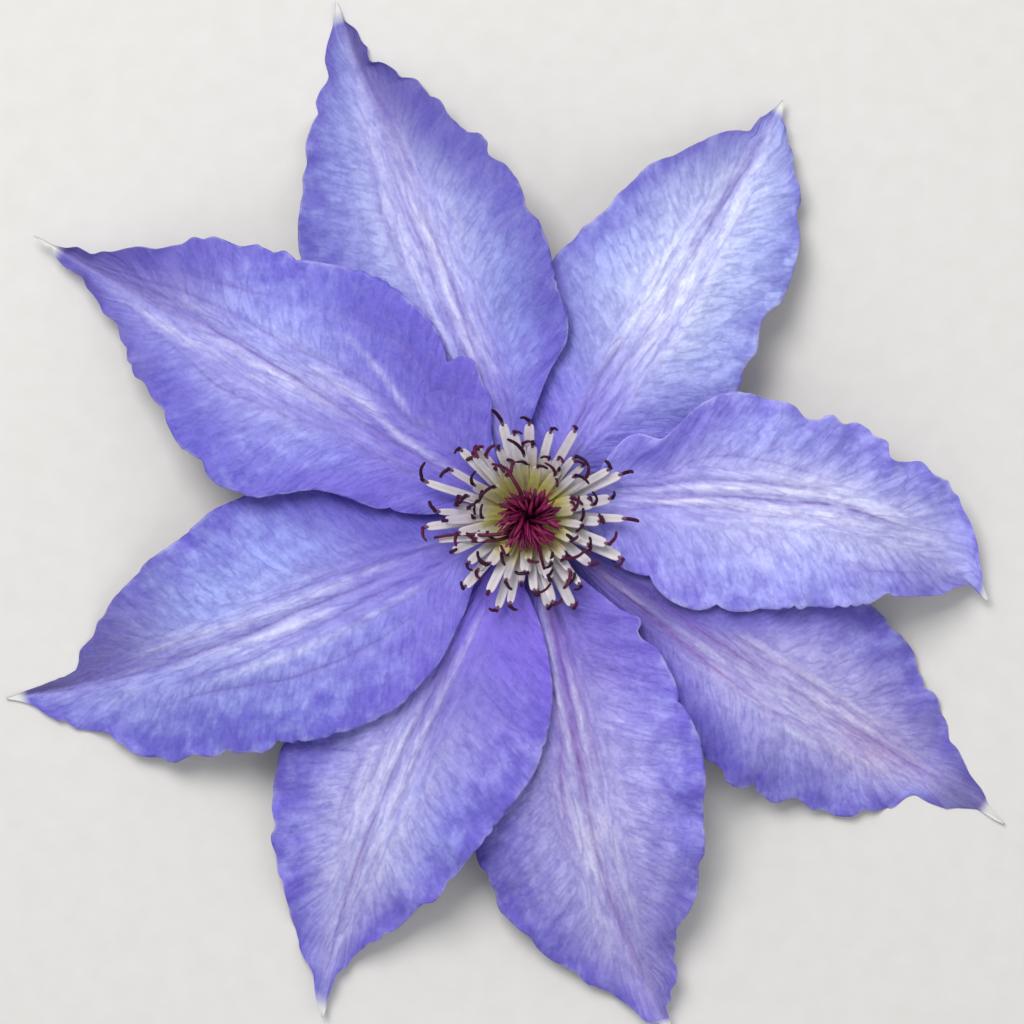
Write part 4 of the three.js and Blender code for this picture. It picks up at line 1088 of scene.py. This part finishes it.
def stalk_material():
    """A downy green stalk with a brownish flush."""
    m = Material("stalk_tissue", sheen_weight=0.3, sheen_roughness=0.5)
    grain = m.noise(m.spot(), 700.0, 4.0, 0.65)
    m.start(m.step(m.noise(m.spot(), 110.0), 0.4, 0.65), "#7c8f4c", "#8a7a58")
    m.paint("#b3b88a", m.step(grain, 0.45, 0.7), 0.4)
    return m.finish(m.fit(grain, 0.2, 0.55), grain, 0.0002)


def floor_material():
    m = Material("floor")
    speckle = m.noise(m.spot(), 260.0, 3.0)
    m.start(speckle, "#d9d7d2", "#e2e0dc")
    return m.finish(0.75, speckle, 0.00005)


def add_floor():
    mesh = bpy.data.meshes.new("floor")
    corners = [(x * FLOOR_REACH, y * FLOOR_REACH, 0) for x, y in ((-1, -1), (1, -1), (1, 1), (-1, 1))]
    mesh.from_pydata(corners, [], [(0, 1, 2, 3)])
    mesh.materials.append(floor_material())
    floor = put_in_scene("floor", mesh)


def add_camera():
    data = bpy.data.cameras.new("camera")
    data.sensor_width = SENSOR
    data.lens = SENSOR * (CAMERA_HEIGHT - FOCUS_HEIGHT) / (PICTURE * PIXEL)
    camera = put_in_scene("camera", data)
    camera.location = in_row_frame([*VIEW_MIDDLE, CAMERA_HEIGHT])
    bpy.context.scene.camera = camera


def add_lamp(name, place, size, power, tint):
    """A square soft lamp that points at the bloom. place and size are in metres."""
    data = bpy.data.lights.new(name, "AREA")
    data.size, data.energy, data.color = size, power, tint
    lamp = put_in_scene(name, data)
    lamp.location = place
    lamp.rotation_euler = (Vector(LAMP_AIM) - Vector(place)).to_track_quat("-Z", "Y").to_euler()


def add_light():
    add_lamp("sky_window", (-0.25, 0.45, 0.85), 0.5, 7.1, (1, 0.99, 0.98))
    add_lamp("fill", (0.7, -0.4, 0.8), 0.9, 1.6, (0.96, 0.97, 1))
    world = bpy.data.worlds.new("world")
    world.use_nodes = True
    background = world.node_tree.nodes["Background"]
    background.inputs["Color"].default_value = (0.93, 0.95, 1, 1)
    background.inputs["Strength"].default_value = 0.47
    bpy.context.scene.world = world
    bpy.context.scene.view_settings.view_transform = "Standard"


blades = [sepal_surface(sepal, order) for order, sepal in enumerate(SEPALS)]
for order, sepal in enumerate(SEPALS):
    add_sepal(sepal, order, blades)
add_stamens()
add_styles()
add_stalk()
add_floor()
add_camera()
add_light()
